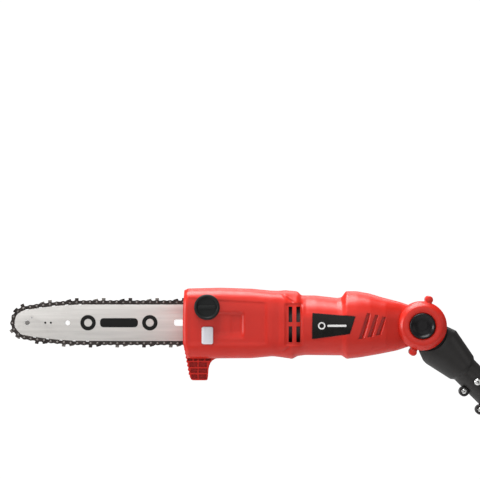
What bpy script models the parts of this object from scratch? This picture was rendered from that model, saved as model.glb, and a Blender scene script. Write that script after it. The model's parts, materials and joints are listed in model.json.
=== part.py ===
"""Telescoping pole saw, modelled as its separate moulded, turned and cut pieces.

Lengths below are in millimetres; MM turns them into metres when a mesh is made.
Three frames are used, each an empty:
  head_frame  origin on the tilt axis, +X to the pole side, +Z up, -Y the near side
  pole_frame  origin on the tilt axis, +X down the pole towards the grip, +Z square to it
Pieces that move get their object origin on their own joint's axis.
"""
import math

import bmesh
import bpy
from mathutils import Matrix, Vector

MM = 0.001
GAP = 0.3                    # clearance left between two pieces that touch

# --- whole tool -------------------------------------------------------------
GRIP_TO_PIVOT = 1200.0       # rear grip to tilt axis, along the retracted pole
POLE_ANGLE = 45.0            # pole below the horizontal when the head is level
POLE_OFFSET = -1.5           # pole axis off the tilt axis, square to the pole

# --- motor head -------------------------------------------------------------
HEAD_TOP = [(-337, 50.5), (-333, 52.9), (-285.5, 54), (-242, 52.6), (-213, 49.8), (-204, 49.6),
            (-194, 50.5), (-177, 49), (-171, 43.2), (-151, 43), (-120.4, 39.5), (-114, 40.5),
            (-108, 49.2), (-92.4, 49.1), (-74.7, 45.9), (-55.6, 40.2), (-30, 33.6)]
HEAD_BOTTOM = [(-337, -43), (-333, -46.5), (-242, -45.9), (-213, -43.1), (-204, -44),
               (-184, -47.1), (-177, -43), (-166, -41.6), (-114, -42.2), (-107, -47.1),
               (-87, -44.8), (-62, -40.4), (-36.5, -35.3), (-30, -33.2)]
HEAD_NEAR = [(-337, 36), (-333, 40), (-213, 39.5), (-204, 38.5), (-194, 39.5), (-177, 39),
             (-171, 36), (-114, 36), (-108, 39), (-74.7, 36), (-30, 30)]
HEAD_STATIONS = [-337, -333, -285.5, -242, -213, -204, -194, -184, -177, -171, -151, -120.4,
                 -114, -108, -92.4, -74.7, -55.6, -36.5, -30]
BLOCK_FAR = 9.0              # far face of the front block, beside the guide bar
BLOCK_END = -198.0           # where the far side steps out from block to motor barrel
FAR_STEP = 6.0
WALL = 2.5
CAVITY_START = -334.5
CAVITY_END = -62.0
BLOCK_CORNER = 12.0
BARREL_CORNER = 24.0
CORNER_STEPS = 4

DRUM_R = 34.7                # round knuckle at the rear of the head
DRUM_HALF = 30.0
DRUM_SLOT = 12.0             # half width of the slot that takes the pole's tongue
TONGUE_R = 30.0
TONGUE_HALF = 8.0
LUG_R = 5.3
LUGS = [(9.8, 37.1), (-13.1, -37.1)]
PIVOT_PIN_R = 5.0
BUTTON_R = 18.2

CAP_AT = (-305.2, 27.0)
CAP_R = 18.2
CAP_FACE = -50.0
NECK_R = 14.0
WINDOW_AT = (-304.6, -13.1)
WINDOW_SIZE = (16.0, 24.5)
WINDOW_CORNER = 3.0
LABEL = [(-156.6, 19.3), (-95.0, 14.2), (-102.7, -11.2), (-157.1, -18.8)]
VENTS = [[(-189.8, 27.7), (-184.7, 27.7), (-184.7, 5.7), (-189.8, 5.7)],
         [(-178.9, 27.7), (-173.5, 27.7), (-173.5, 5.7), (-178.9, 5.7)],
         [(-189.8, -0.1), (-184.7, -0.1), (-184.7, -22.6), (-189.8, -22.6)],
         [(-178.9, -0.1), (-173.5, -0.1), (-173.5, -22.6), (-178.9, -22.6)],
         [(-79.1, 18.6), (-74.6, 18.6), (-85.6, -18.2), (-91.1, -18.2)],
         [(-67.7, 16.1), (-63.6, 16.1), (-73.0, -15.6), (-78.5, -15.6)]]

# --- bar and chain ----------------------------------------------------------
BAR_Y = 14.0
BAR_Z = 4.0
BAR_THICK = 4.0
NOSE_X = -561.5
NOSE_R = 18.2
BAR_HALF = 26.0
BAR_FULL_X = -475.0          # where the rails stop widening
BAR_TAIL = -280.0
GROOVE_DEPTH = 7.0
GROOVE_WIDTH = 1.6
SLOT_HALF = 4.35
SLOT_X = (-352.5, -292.0)
STUD_X = -318.0
TENSION_AT = (-286.5, 17.0)
RIVET_RISE = 3.2             # rivet line above the rail
CHAIN_PITCH = 9.525
CHAIN_ROLL = CHAIN_PITCH / (2 * math.sin(math.pi / 12))
SPROCKET_X = -244.9          # puts 80 chain pitches round bar and sprocket
CUTTER_EVERY = 38.1

# --- drive ------------------------------------------------------------------
MOTOR_Y = -4.0
MOTOR_Z = BAR_Z
PINION_TEETH = 9
GEAR_TEETH = 27
GEAR_MODULE = 1.78

# --- pole, measured down the pole from the tilt axis ------------------------
INNER_TUBE_R = 15.0
INNER_TUBE = (100.0, 1040.0)
OUTER_TUBE_R = 17.5
OUTER_TUBE = (200.0, 1080.0)
TUBE_WALL = 1.5
KNUCKLE_END = 168.0


# --- mesh tools -------------------------------------------------------------
def clear_scene():
    """Remove whatever the file already holds."""
    for thing in list(bpy.data.objects):
        bpy.data.objects.remove(thing, do_unlink=True)


def interpolate(table, x):
    """Read a line of (x, value) points at x."""
    if x <= table[0][0]:
        return table[0][1]
    for (x0, v0), (x1, v1) in zip(table, table[1:]):
        if x <= x1:
            return v0 + (v1 - v0) * (x - x0) / (x1 - x0)
    return table[-1][1]


def loft(rings, closed=False):
    """Skin a list of equal rings; open lofts are capped at both ends."""
    bm = bmesh.new()
    rows = [[bm.verts.new(point) for point in ring] for ring in rings]
    count = len(rings[0])
    pairs = list(zip(rows, rows[1:]))
    if closed:
        pairs.append((rows[-1], rows[0]))
    for low, high in pairs:
        for i in range(count):
            j = (i + 1) % count
            bm.faces.new((low[i], low[j], high[j], high[i]))
    if not closed:
        bm.faces.new(rows[0])
        bm.faces.new(rows[-1])
    bmesh.ops.recalc_face_normals(bm, faces=bm.faces)
    return bm


def prism(outline, y0, y1):
    """Extrude an (x, z) outline along Y."""
    return loft([[(x, y, z) for x, z in outline] for y in (y0, y1)])


def box(x0, x1, y0, y1, z0, z1):
    """Axis-aligned block."""
    return prism([(x0, z0), (x1, z0), (x1, z1), (x0, z1)], y0, y1)


AXES = {"X": Matrix(((0, 0, 1), (1, 0, 0), (0, 1, 0))),
        "Y": Matrix(((1, 0, 0), (0, 0, 1), (0, -1, 0))),
        "Z": Matrix.Identity(3)}


def turned(profile, axis="Y", centre=(0, 0, 0), steps=18):
    """Turn a closed (radius, along) profile about an axis; radius 0 closes on the axis."""
    bm = bmesh.new()
    rows = []
    for radius, along in profile:
        if radius == 0:
            rows.append([bm.verts.new((0, 0, along))] * steps)
            continue
        ring = []
        for i in range(steps):
            angle = 2 * math.pi * (i + 0.5) / steps
            ring.append(bm.verts.new((radius * math.cos(angle), radius * math.sin(angle), along)))
        rows.append(ring)
    on_axis = profile[0][0] == 0
    pairs = list(zip(rows, rows[1:]))
    if not on_axis:
        pairs.append((rows[-1], rows[0]))
    for low, high in pairs:
        for i in range(steps):
            j = (i + 1) % steps
            corners = list(dict.fromkeys((low[i], low[j], high[j], high[i])))
            if len(corners) > 2:
                bm.faces.new(corners)
    bmesh.ops.transform(bm, matrix=Matrix.Translation(centre) @ AXES[axis].to_4x4(), verts=bm.verts)
    bmesh.ops.recalc_face_normals(bm, faces=bm.faces)
    return bm


def rod(radius, start, end, axis="Y", centre=(0, 0, 0), steps=18):
    """Plain round bar between two places along an axis."""
    return turned([(0, start), (radius, start), (radius, end), (0, end)], axis, centre, steps)


def ring(inner, outer, start, end, axis="Y", centre=(0, 0, 0), steps=18):
    """Plain round sleeve between two places along an axis."""
    profile = [(inner, start), (outer, start), (outer, end), (inner, end)]
    return turned(profile, axis, centre, steps)


def soften(bm, width, segments=2, min_angle=40.0):
    """Round every edge sharper than min_angle."""
    sharp = [e for e in bm.edges if e.is_manifold and e.calc_face_angle() > math.radians(min_angle)]
    bmesh.ops.bevel(bm, geom=sharp, offset=width, segments=segments, affect="EDGES",
                    clamp_overlap=True, profile=0.5)
    return bm


def combine(bm, other, operation):
    """Boolean two closed meshes and free both; the result is a new mesh."""
    objects = []
    for number, source in enumerate((bm, other)):
        mesh = bpy.data.meshes.new("work")
        source.to_mesh(mesh)
        source.free()
        thing = bpy.data.objects.new("work_%d" % number, mesh)
        bpy.context.collection.objects.link(thing)
        objects.append(thing)
    modifier = objects[0].modifiers.new("combine", "BOOLEAN")
    modifier.operation = operation
    modifier.solver = "EXACT"
    modifier.object = objects[1]
    result = bmesh.new()
    result.from_object(objects[0], bpy.context.evaluated_depsgraph_get())
    for thing in objects:
        mesh = thing.data
        bpy.data.objects.remove(thing, do_unlink=True)
        bpy.data.meshes.remove(mesh)
    bmesh.ops.remove_doubles(result, verts=result.verts, dist=0.002)
    bmesh.ops.dissolve_degenerate(result, edges=result.edges, dist=0.002)
    return result


def cut(bm, *cutters):
    """Take each cutter away from bm in turn."""
    for cutter in cutters:
        bm = combine(bm, cutter, "DIFFERENCE")
    return bm


def join(bm, *others):
    """Union each of others into bm in turn."""
    for other in others:
        bm = combine(bm, other, "UNION")
    return bm


def keep(bm, region):
    """Keep only what lies inside region."""
    return combine(bm, region, "INTERSECT")


def rounded_outline(x, z, half_x, half_z, corner, steps=3):
    """(x, z) outline of a rectangle with round corners."""
    points = []
    for sx, sz, start in ((1, 1, 0), (-1, 1, 90), (-1, -1, 180), (1, -1, 270)):
        for i in range(steps + 1):
            angle = math.radians(start + 90 * i / steps)
            points.append((x + sx * (half_x - corner) + corner * math.cos(angle),
                           z + sz * (half_z - corner) + corner * math.sin(angle)))
    return points


def rounded_section(x, near, far, bottom, top, corner):
    """One rounded-rectangle ring square to X, between the near and far sides."""
    radius = min(corner, (far - near) / 2 - 0.5, (top - bottom) / 2 - 0.5)
    points = []
    centres = [(far - radius, top - radius, 0), (near + radius, top - radius, 90),
               (near + radius, bottom + radius, 180), (far - radius, bottom + radius, 270)]
    for cy, cz, start in centres:
        for i in range(CORNER_STEPS + 1):
            angle = math.radians(start + 90 * i / CORNER_STEPS)
            points.append((x, cy + radius * math.cos(angle), cz + radius * math.sin(angle)))
    return points


# --- finishes and placing ---------------------------------------------------
FINISHES = {
    "red_shell": ((0.62, 0.035, 0.028), 0.38, 0.0),
    "black_plastic": ((0.02, 0.02, 0.022), 0.45, 0.0),
    "grey_plastic": ((0.06, 0.06, 0.065), 0.5, 0.0),
    "window": ((0.78, 0.77, 0.84), 0.25, 0.0),
    "tank_plastic": ((0.75, 0.75, 0.72), 0.4, 0.0),
    "bar_steel": ((0.58, 0.55, 0.52), 0.45, 0.9),
    "chain_steel": ((0.11, 0.085, 0.07), 0.4, 0.9),
    "bright_steel": ((0.7, 0.7, 0.7), 0.25, 1.0),
    "spring_steel": ((0.45, 0.45, 0.47), 0.3, 1.0),
    "cast_aluminium": ((0.5, 0.5, 0.51), 0.5, 0.9),
    "tube_aluminium": ((0.62, 0.62, 0.64), 0.35, 1.0),
    "painted_tube": ((0.03, 0.03, 0.033), 0.35, 0.1),
    "copper": ((0.72, 0.35, 0.2), 0.35, 1.0),
    "carbon": ((0.05, 0.05, 0.05), 0.7, 0.0),
    "rubber": ((0.025, 0.025, 0.027), 0.8, 0.0),
}


def finish_material(piece, finish):
    """A Principled material of the piece's own."""
    colour, roughness, metallic = FINISHES[finish]
    material = bpy.data.materials.new(piece + "_" + finish)
    material.use_nodes = True
    shader = material.node_tree.nodes["Principled BSDF"]
    shader.inputs["Base Color"].default_value = (*colour, 1.0)
    shader.inputs["Roughness"].default_value = roughness
    shader.inputs["Metallic"].default_value = metallic
    material.diffuse_color = (*colour, 1.0)
    return material


def add_piece(name, bm, parent, finish, origin=(0, 0, 0), smooth=32.0):
    """Make one named piece under parent, with its own origin."""
    bmesh.ops.translate(bm, vec=-Vector(origin), verts=bm.verts)
    bmesh.ops.scale(bm, vec=(MM, MM, MM), verts=bm.verts)
    bmesh.ops.recalc_face_normals(bm, faces=bm.faces)
    mesh = bpy.data.meshes.new(name)
    bm.to_mesh(mesh)
    bm.free()
    mesh.shade_smooth()
    mesh.set_sharp_from_angle(angle=math.radians(smooth))
    piece = bpy.data.objects.new(name, mesh)
    piece.location = Vector(origin) * MM
    piece.parent = parent
    mesh.materials.append(finish_material(name, finish))
    bpy.context.collection.objects.link(piece)
    return piece


def add_frame(name, location, turn=0.0):
    """An empty that carries pieces."""
    frame = bpy.data.objects.new(name, None)
    frame.location = location
    frame.rotation_euler = (0, math.radians(turn), 0)
    bpy.context.collection.objects.link(frame)
    return frame


# --- head shells ------------------------------------------------------------
def head_rings(inset):
    """Sections of the head's outside, or of its cavity when inset is the wall."""
    rings = []
    stations = HEAD_STATIONS
    if inset:
        stations = [CAVITY_START] + [x for x in stations if CAVITY_START < x < CAVITY_END]
        stations.append(CAVITY_END)
    for x in stations:
        near = interpolate(HEAD_NEAR, x) - inset
        far = interpolate([(BLOCK_END, BLOCK_FAR), (BLOCK_END + FAR_STEP, 38)], x)
        if x > BLOCK_END + FAR_STEP:
            far = interpolate(HEAD_NEAR, x)
        corner = BLOCK_CORNER if x < BLOCK_END + FAR_STEP else BARREL_CORNER
        top = interpolate(HEAD_TOP, x) - inset
        bottom = interpolate(HEAD_BOTTOM, x) + inset
        section = rounded_section(x, -near, near, bottom, top, corner - inset)
        rings.append([(px, min(py, far - inset), pz) for px, py, pz in section])
    return rings


def tongue_room():
    """Space in the drum for the pole's tongue through its whole swing."""
    reach = 80.0
    fan = [(0, 0)]
    for step in range(5):
        angle = math.radians(-99 + step * 36)
        fan.append((reach * math.cos(angle), reach * math.sin(angle)))
    return join(rod(TONGUE_R + 1, -DRUM_SLOT, DRUM_SLOT, steps=24),
                prism(fan, -DRUM_SLOT, DRUM_SLOT))


def head_body():
    """Both head shells as one hollow body, before it is parted down the middle."""
    body = loft(head_rings(0))
    drum = soften(rod(DRUM_R, -DRUM_HALF - 2, DRUM_HALF + 2, steps=32), 2.5, 2)
    body = join(body, drum)
    for x, z in LUGS:
        body = join(body, rod(LUG_R, -DRUM_HALF - 1, DRUM_HALF + 1, centre=(x, 0, z), steps=12))
    body = cut(body, loft(head_rings(WALL)), tongue_room())
    body = cut(body, rod(BUTTON_R + GAP, -60, -16, steps=24), rod(PIVOT_PIN_R + GAP, -60, 60))
    body = cut(body, rod(11, 24, 60, steps=18))
    for outline in VENTS:
        body = cut(body, prism(outline, -60, 60))
    for x, z in LUGS:
        body = cut(body, rod(4.3, 28, 40, centre=(x, 0, z), steps=12),
                   rod(2.3, -22, 50, centre=(x, 0, z), steps=8))
    x, z = CAP_AT
    body = cut(body, rod(NECK_R + GAP, -60, -30, centre=(x, 0, z), steps=22))
    x, z = WINDOW_AT
    half_x = WINDOW_SIZE[0] / 2 + GAP
    half_z = WINDOW_SIZE[1] / 2 + GAP
    body = cut(body, prism(rounded_outline(x, z, half_x, half_z, WINDOW_CORNER + GAP), -60, -30))
    body = cut(body, prism(LABEL, -60, -interpolate(HEAD_NEAR, -130) + 0.6))
    body = cut(body, box(-350, -329, -16, 12, -90, -26.2), box(-340, -295, -16, 12, -90, -40))
    body = cut(body, rod(8, 0, 20, centre=(SPROCKET_X, 0, BAR_Z), steps=18),
               rod(4.3, 0, 20, centre=(STUD_X, 0, BAR_Z), steps=12),
               rod(3.1, 0, 20, centre=(TENSION_AT[0] - 10, 0, TENSION_AT[1]), steps=8))
    return body


def build_head_shells(frame):
    """The near and far halves of the head."""
    body = head_body()
    near = keep(body.copy(), box(-400, 100, -80, -GAP / 2, -90, 90))
    far = keep(body, box(-400, 100, GAP / 2, 80, -90, 90))
    add_piece("head_shell_near", near, frame, "red_shell")
    add_piece("head_shell_far", far, frame, "red_shell")


def build_branch_hook(frame):
    """Ribbed hook under the front of the head, with a toothed front edge."""
    teeth = []
    for i in range(7):
        z = -32 - i * 5.8
        x = interpolate([(-72.2, -329.8), (-26.9, -337)], z)
        teeth += [(x, z), (x + 1.4, z - 2.9)]
    outline = [(-337, -27.2)] + teeth
    outline += [(-329.8, -72.2), (-326.2, -77.2), (-304.9, -77.2), (-304, -74), (-303, -58.6),
                (-300.8, -53.2), (-296.8, -48.6), (-296.8, -41), (-329.6, -41), (-331.5, -27.2)]
    hook = prism(outline, -15.5, BLOCK_FAR - 1)
    pockets = [(-327.5, -319, -48.5, -43.5), (-317, -306, -48.5, -43.5),
               (-328.5, -319, -58.3, -51.3), (-317, -306, -58.3, -51.3),
               (-327, -319, -66.7, -60.3), (-317, -306, -66.7, -60.3),
               (-325, -319, -75.2, -68.7), (-317, -306, -75.2, -68.7)]
    for x0, x1, z0, z1 in pockets:
        hook = cut(hook, box(x0, x1, -30, 3, z0, z1))
    add_piece("branch_hook", hook, frame, "red_shell")


def build_tilt_button(frame):
    """Dished release button in the middle of the drum, and its spring."""
    profile = [(0, -29.5), (8, -30), (12, -31), (15.5, -32.5), (17.2, -32.5), (BUTTON_R, -31.5),
               (BUTTON_R, -20.5), (11.5, -20.5), (11.5, -27), (7, -27), (7, -20.5), (0, -20.5)]
    add_piece("tilt_button", turned(profile, steps=24), frame, "black_plastic")
    turns = 3
    wire = 0.8
    rings = []
    steps_a_turn = 10
    for i in range(turns * steps_a_turn + 1):
        angle = 2 * math.pi * i / steps_a_turn
        along = -22.9 + 6.0 * i / (turns * steps_a_turn)
        ring_points = []
        for k in range(5):
            roll = 2 * math.pi * k / 5
            radius = 9.2 + wire * math.cos(roll)
            ring_points.append((radius * math.cos(angle), along + wire * math.sin(roll),
                                radius * math.sin(angle)))
        rings.append(ring_points)
    add_piece("button_spring", loft(rings), frame, "spring_steel")


def build_head_trim(frame):
    """Label plate, oil window and the two screws in the drum's bosses."""
    face = -interpolate(HEAD_NEAR, -130)
    centre_x = sum(x for x, z in LABEL) / 4
    centre_z = sum(z for x, z in LABEL) / 4
    inner = [(x + GAP * (1 if x < centre_x else -1) * 1.5, z + GAP * (1 if z < centre_z else -1))
             for x, z in LABEL]
    add_piece("label_plate", prism(inner, face - 0.4, face + 0.3), frame, "black_plastic")
    x, z = WINDOW_AT
    half_x = WINDOW_SIZE[0] / 2
    half_z = WINDOW_SIZE[1] / 2
    pane = prism(rounded_outline(x, z, half_x, half_z, WINDOW_CORNER), -40.8, -37.8)
    add_piece("oil_window", pane, frame, "window")
    for name, (x, z) in zip(("upper", "lower"), LUGS):
        screw = turned([(0, -18), (1.9, -18), (1.9, 28.3), (3.9, 28.3), (3.9, 29.6),
                        (3.6, 30.4), (0, 30.4)], centre=(x, 0, z), steps=10)
        add_piece("drum_screw_" + name, screw, frame, "bright_steel")


# --- oil ----------------------------------------------------------------------
def build_oil_parts(frame):
    """Tank with its filler neck, the pump, the cap and the rubber plug it turns on."""
    x, z = CAP_AT
    tank = soften(box(-328.5, -276, -36.4, 5.6, -38.5, 45.5), 5, 2)
    tank = join(tank, rod(NECK_R, -39.7, -30, centre=(x, 0, z), steps=22))
    inside = soften(box(-326.5, -278, -34.4, 3.6, -36.5, 43.5), 3.5, 2)
    tank = cut(tank, inside, rod(12.2, -45, -20, centre=(x, 0, z), steps=22))
    tank = cut(tank, rod(5.2, -10, 20, centre=(STUD_X, 0, BAR_Z), steps=12),
               rod(2.6, -290, -270, "X", (0, -20, -33), 8))
    tank = cut(tank, rod(3.6, -10, 20, centre=(TENSION_AT[0] - 10, 0, TENSION_AT[1]), steps=8))
    hook_room = box(-345, -290, -17, 12, -60, -37.5)
    tank = cut(tank, hook_room)
    add_piece("oil_tank", tank, frame, "tank_plastic")
    pump = soften(box(-273, -258, -28, -12, -41, -31), 2, 2)
    pump = join(pump, rod(2.0, -277, -270, "X", (0, -20, -33), 8))
    add_piece("oil_pump", pump, frame, "cast_aluminium")
    seal = turned([(0, -39.9), (9.6, -39.9), (9.6, -38.5), (11.8, -38.5), (11.8, -36), (9.6, -36),
                   (9.6, -30), (0, -30)], centre=(x, 0, z), steps=22)
    add_piece("cap_seal", seal, frame, "rubber", origin=(x, -40, z))
    cap = turned([(0, CAP_FACE), (15.6, CAP_FACE), (17.4, CAP_FACE + 0.7), (CAP_R, CAP_FACE + 2.2),
                  (CAP_R, -40.4), (0, -40.4)], centre=(x, 0, z), steps=24)
    cap = cut(cap, box(x - 11, x + 11, CAP_FACE - 5, CAP_FACE + 4, z + 2.2, z + 9),
              box(x - 11, x + 11, CAP_FACE - 5, CAP_FACE + 4, z - 9, z - 2.2))
    add_piece("oil_cap", cap, frame, "black_plastic", origin=(x, -40, z))


# --- bar, chain and nose ------------------------------------------------------
def nose_blend():
    """Angle where the round nose meets the curved rail, the rail's curve and its start."""
    low, high = 1.0, 20.0
    for _ in range(50):
        angle = math.radians((low + high) / 2)
        start = NOSE_X - NOSE_R * math.sin(angle)
        curve = math.tan(angle) / (2 * (BAR_FULL_X - start))
        if BAR_HALF - curve * (BAR_FULL_X - start) ** 2 > NOSE_R * math.cos(angle):
            low = math.degrees(angle)
        else:
            high = math.degrees(angle)
    return angle, curve, start


def bar_outline(offset=0.0, tail=BAR_TAIL, rail_steps=8, nose_steps=14):
    """The bar's edge, from the tail round the nose and back, moved out by offset."""
    angle, curve, start = nose_blend()
    upper = [(tail, BAR_HALF + offset)]
    for i in range(rail_steps + 1):
        x = BAR_FULL_X + (start - BAR_FULL_X) * i / rail_steps
        slope = 2 * curve * (BAR_FULL_X - x)
        size = math.hypot(slope, 1)
        half = BAR_HALF - curve * (BAR_FULL_X - x) ** 2
        upper.append((x - offset * slope / size, half + offset / size))
    nose = []
    first = math.pi / 2 + angle
    for i in range(1, nose_steps):
        turn = first + (math.pi - 2 * angle) * i / nose_steps
        nose.append((NOSE_X + (NOSE_R + offset) * math.cos(turn), (NOSE_R + offset) * math.sin(turn)))
    lower = [(x, -z) for x, z in reversed(upper)]
    return [(x, BAR_Z + z) for x, z in upper + nose + lower]


def build_bar(frame):
    """Guide bar with its chain groove, slot and holes, the nose sprocket and its rivet."""
    half = BAR_THICK / 2
    tail = [(x, z) for x, z in bar_outline()]
    tail_cut = 7.0
    tail = [(BAR_TAIL - tail_cut, tail[0][1])] + tail[1:-1] + [(BAR_TAIL - tail_cut, tail[-1][1])]
    tail += [(BAR_TAIL, BAR_Z - BAR_HALF + tail_cut), (BAR_TAIL, BAR_Z + BAR_HALF - tail_cut)]
    bar = prism(tail, BAR_Y - half, BAR_Y + half)
    low = BAR_Y - GROOVE_WIDTH / 2
    high = BAR_Y + GROOVE_WIDTH / 2
    core = prism(bar_outline(-GROOVE_DEPTH, BAR_TAIL + 12), BAR_Y - half, BAR_Y + half)
    core = cut(core, rod(17.2, 0, 30, centre=(NOSE_X, 0, BAR_Z), steps=22))
    groove = cut(prism(bar_outline(6, BAR_TAIL + 8), low, high), core)
    bar = cut(bar, groove)
    slot = []
    for x, turn in ((SLOT_X[0] + SLOT_HALF, 90), (SLOT_X[1] - SLOT_HALF, 270)):
        for i in range(7):
            angle = math.radians(turn + 180 * i / 6)
            slot.append((x + SLOT_HALF * math.cos(angle), BAR_Z + SLOT_HALF * math.sin(angle)))
    bar = cut(bar, prism(slot, 0, 30), rod(3.3, 0, 30, centre=(-504.1, 0, BAR_Z - 0.2), steps=12),
              rod(1.0, 0, 30, centre=(-555.3, 0, BAR_Z + 7.1), steps=8),
              rod(3.7, 0, 30, centre=(NOSE_X, 0, BAR_Z), steps=12),
              rod(3.3, 0, 30, centre=(TENSION_AT[0], 0, TENSION_AT[1]), steps=10))
    add_piece("guide_bar", bar, frame, "bar_steel")
    teeth = 8
    outline = []
    for i in range(teeth):
        for turn, radius in ((-0.30, 12.2), (-0.12, 16.6), (0.12, 16.6), (0.30, 12.2)):
            angle = 2 * math.pi * (i + turn) / teeth
            outline.append((NOSE_X + radius * math.cos(angle), BAR_Z + radius * math.sin(angle)))
    star = cut(prism(outline, BAR_Y - 0.5, BAR_Y + 0.5),
               rod(3.8, 0, 30, centre=(NOSE_X, 0, BAR_Z), steps=12))
    add_piece("nose_sprocket", star, frame, "spring_steel", origin=(NOSE_X, BAR_Y, BAR_Z))
    rivet = rod(3.4, BAR_Y - half - 0.1, BAR_Y + half + 0.1, centre=(NOSE_X, 0, BAR_Z), steps=12)
    add_piece("nose_rivet", rivet, frame, "spring_steel")


def chain_path():
    """Points on the rivet line of the closed chain, each with its outward normal."""
    rise = RIVET_RISE
    edge = [(x, z - BAR_Z) for x, z in bar_outline(rise, BAR_TAIL, 12, 22)]
    reach = SPROCKET_X - BAR_TAIL
    lift = BAR_HALF + rise
    lean = math.atan2(lift, reach) - math.asin(CHAIN_ROLL / math.hypot(reach, lift))
    first = lean - math.pi / 2
    wrap = []
    for i in range(25):
        angle = first - 2 * first * i / 24
        wrap.append((SPROCKET_X + CHAIN_ROLL * math.cos(angle), CHAIN_ROLL * math.sin(angle)))
    corners = edge + wrap
    points = []
    for (x0, z0), (x1, z1) in zip(corners, corners[1:] + corners[:1]):
        length = math.hypot(x1 - x0, z1 - z0)
        pieces = max(1, round(length / 12.7))
        for i in range(pieces):
            points.append((x0 + (x1 - x0) * i / pieces, z0 + (z1 - z0) * i / pieces))
    path = []
    for before, here, after in zip(points[-1:] + points[:-1], points, points[1:] + points[:1]):
        dx = after[0] - before[0]
        dz = after[1] - before[1]
        size = math.hypot(dx, dz)
        path.append((here[0], here[1] + BAR_Z, dz / size, -dx / size))
    return path


def build_chain(frame):
    """The whole chain as one closed band, higher and wider at each cutter."""
    rings = []
    travelled = 0.0
    path = chain_path()
    last = path[-1]
    for x, z, nx, nz in path:
        travelled += math.hypot(x - last[0], z - last[1])
        last = (x, z)
        cutter = (travelled % CUTTER_EVERY) < CUTTER_EVERY * 0.45
        height = 5.0 if cutter else 2.0
        half = 3.2 if cutter else 2.2
        ring_points = []
        for y, lift in ((-half, height), (half, height), (half, -2.7), (-half, -2.7)):
            ring_points.append((x - nx * -lift, BAR_Y + y, z - nz * -lift))
        rings.append(ring_points)
    add_piece("saw_chain", loft(rings, closed=True), frame, "chain_steel")


def build_bar_mount(frame):
    """Stud and tensioner pin that hold and set the bar."""
    stud = rod(3.9, 5.9, 36, centre=(STUD_X, 0, BAR_Z), steps=12)
    stud = join(stud, rod(4.9, 3.9, 5.5, centre=(STUD_X, 0, BAR_Z), steps=12),
                rod(3.9, 5.0, 6.5, centre=(STUD_X, 0, BAR_Z), steps=12))
    add_piece("bar_stud", stud, frame, "bright_steel")
    x, z = TENSION_AT
    pin = rod(2.9, BAR_Y - 4.4, BAR_Y + 1.8, centre=(x, 0, z), steps=10)
    add_piece("tension_pin", pin, frame, "bright_steel")


# --- drive train ----------------------------------------------------------------
def bevel_gear(teeth, mate_teeth, face, hub_front, hub_back, bore, phase):
    """Straight bevel gear: its apex at 0, its teeth opening towards +Z."""
    pitch_r = GEAR_MODULE * teeth / 2
    cone = math.atan2(teeth, mate_teeth)
    reach = pitch_r / math.sin(cone)
    heights = ((-0.28, -1.1), (-0.11, 0.6), (0.11, 0.6), (0.28, -1.1))
    outer = []
    for i in range(teeth):
        for turn, height in heights:
            angle = 2 * math.pi * (i + turn + phase) / teeth
            lift = height * GEAR_MODULE
            radius = pitch_r + lift * math.cos(cone)
            along = reach * math.cos(cone) - lift * math.sin(cone)
            outer.append((radius * math.cos(angle), radius * math.sin(angle), along))
    shrink = 1 - face / reach
    inner = [(x * shrink, y * shrink, z * shrink) for x, y, z in outer]
    centre_front = [(0.35 * x, 0.35 * y, hub_front) for x, y, z in inner]
    centre_back = [(0.35 * x, 0.35 * y, hub_back) for x, y, z in inner]
    gear = loft([centre_front, inner, outer, centre_back])
    return cut(gear, rod(bore, -100, 100, "Z", steps=12))


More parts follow.
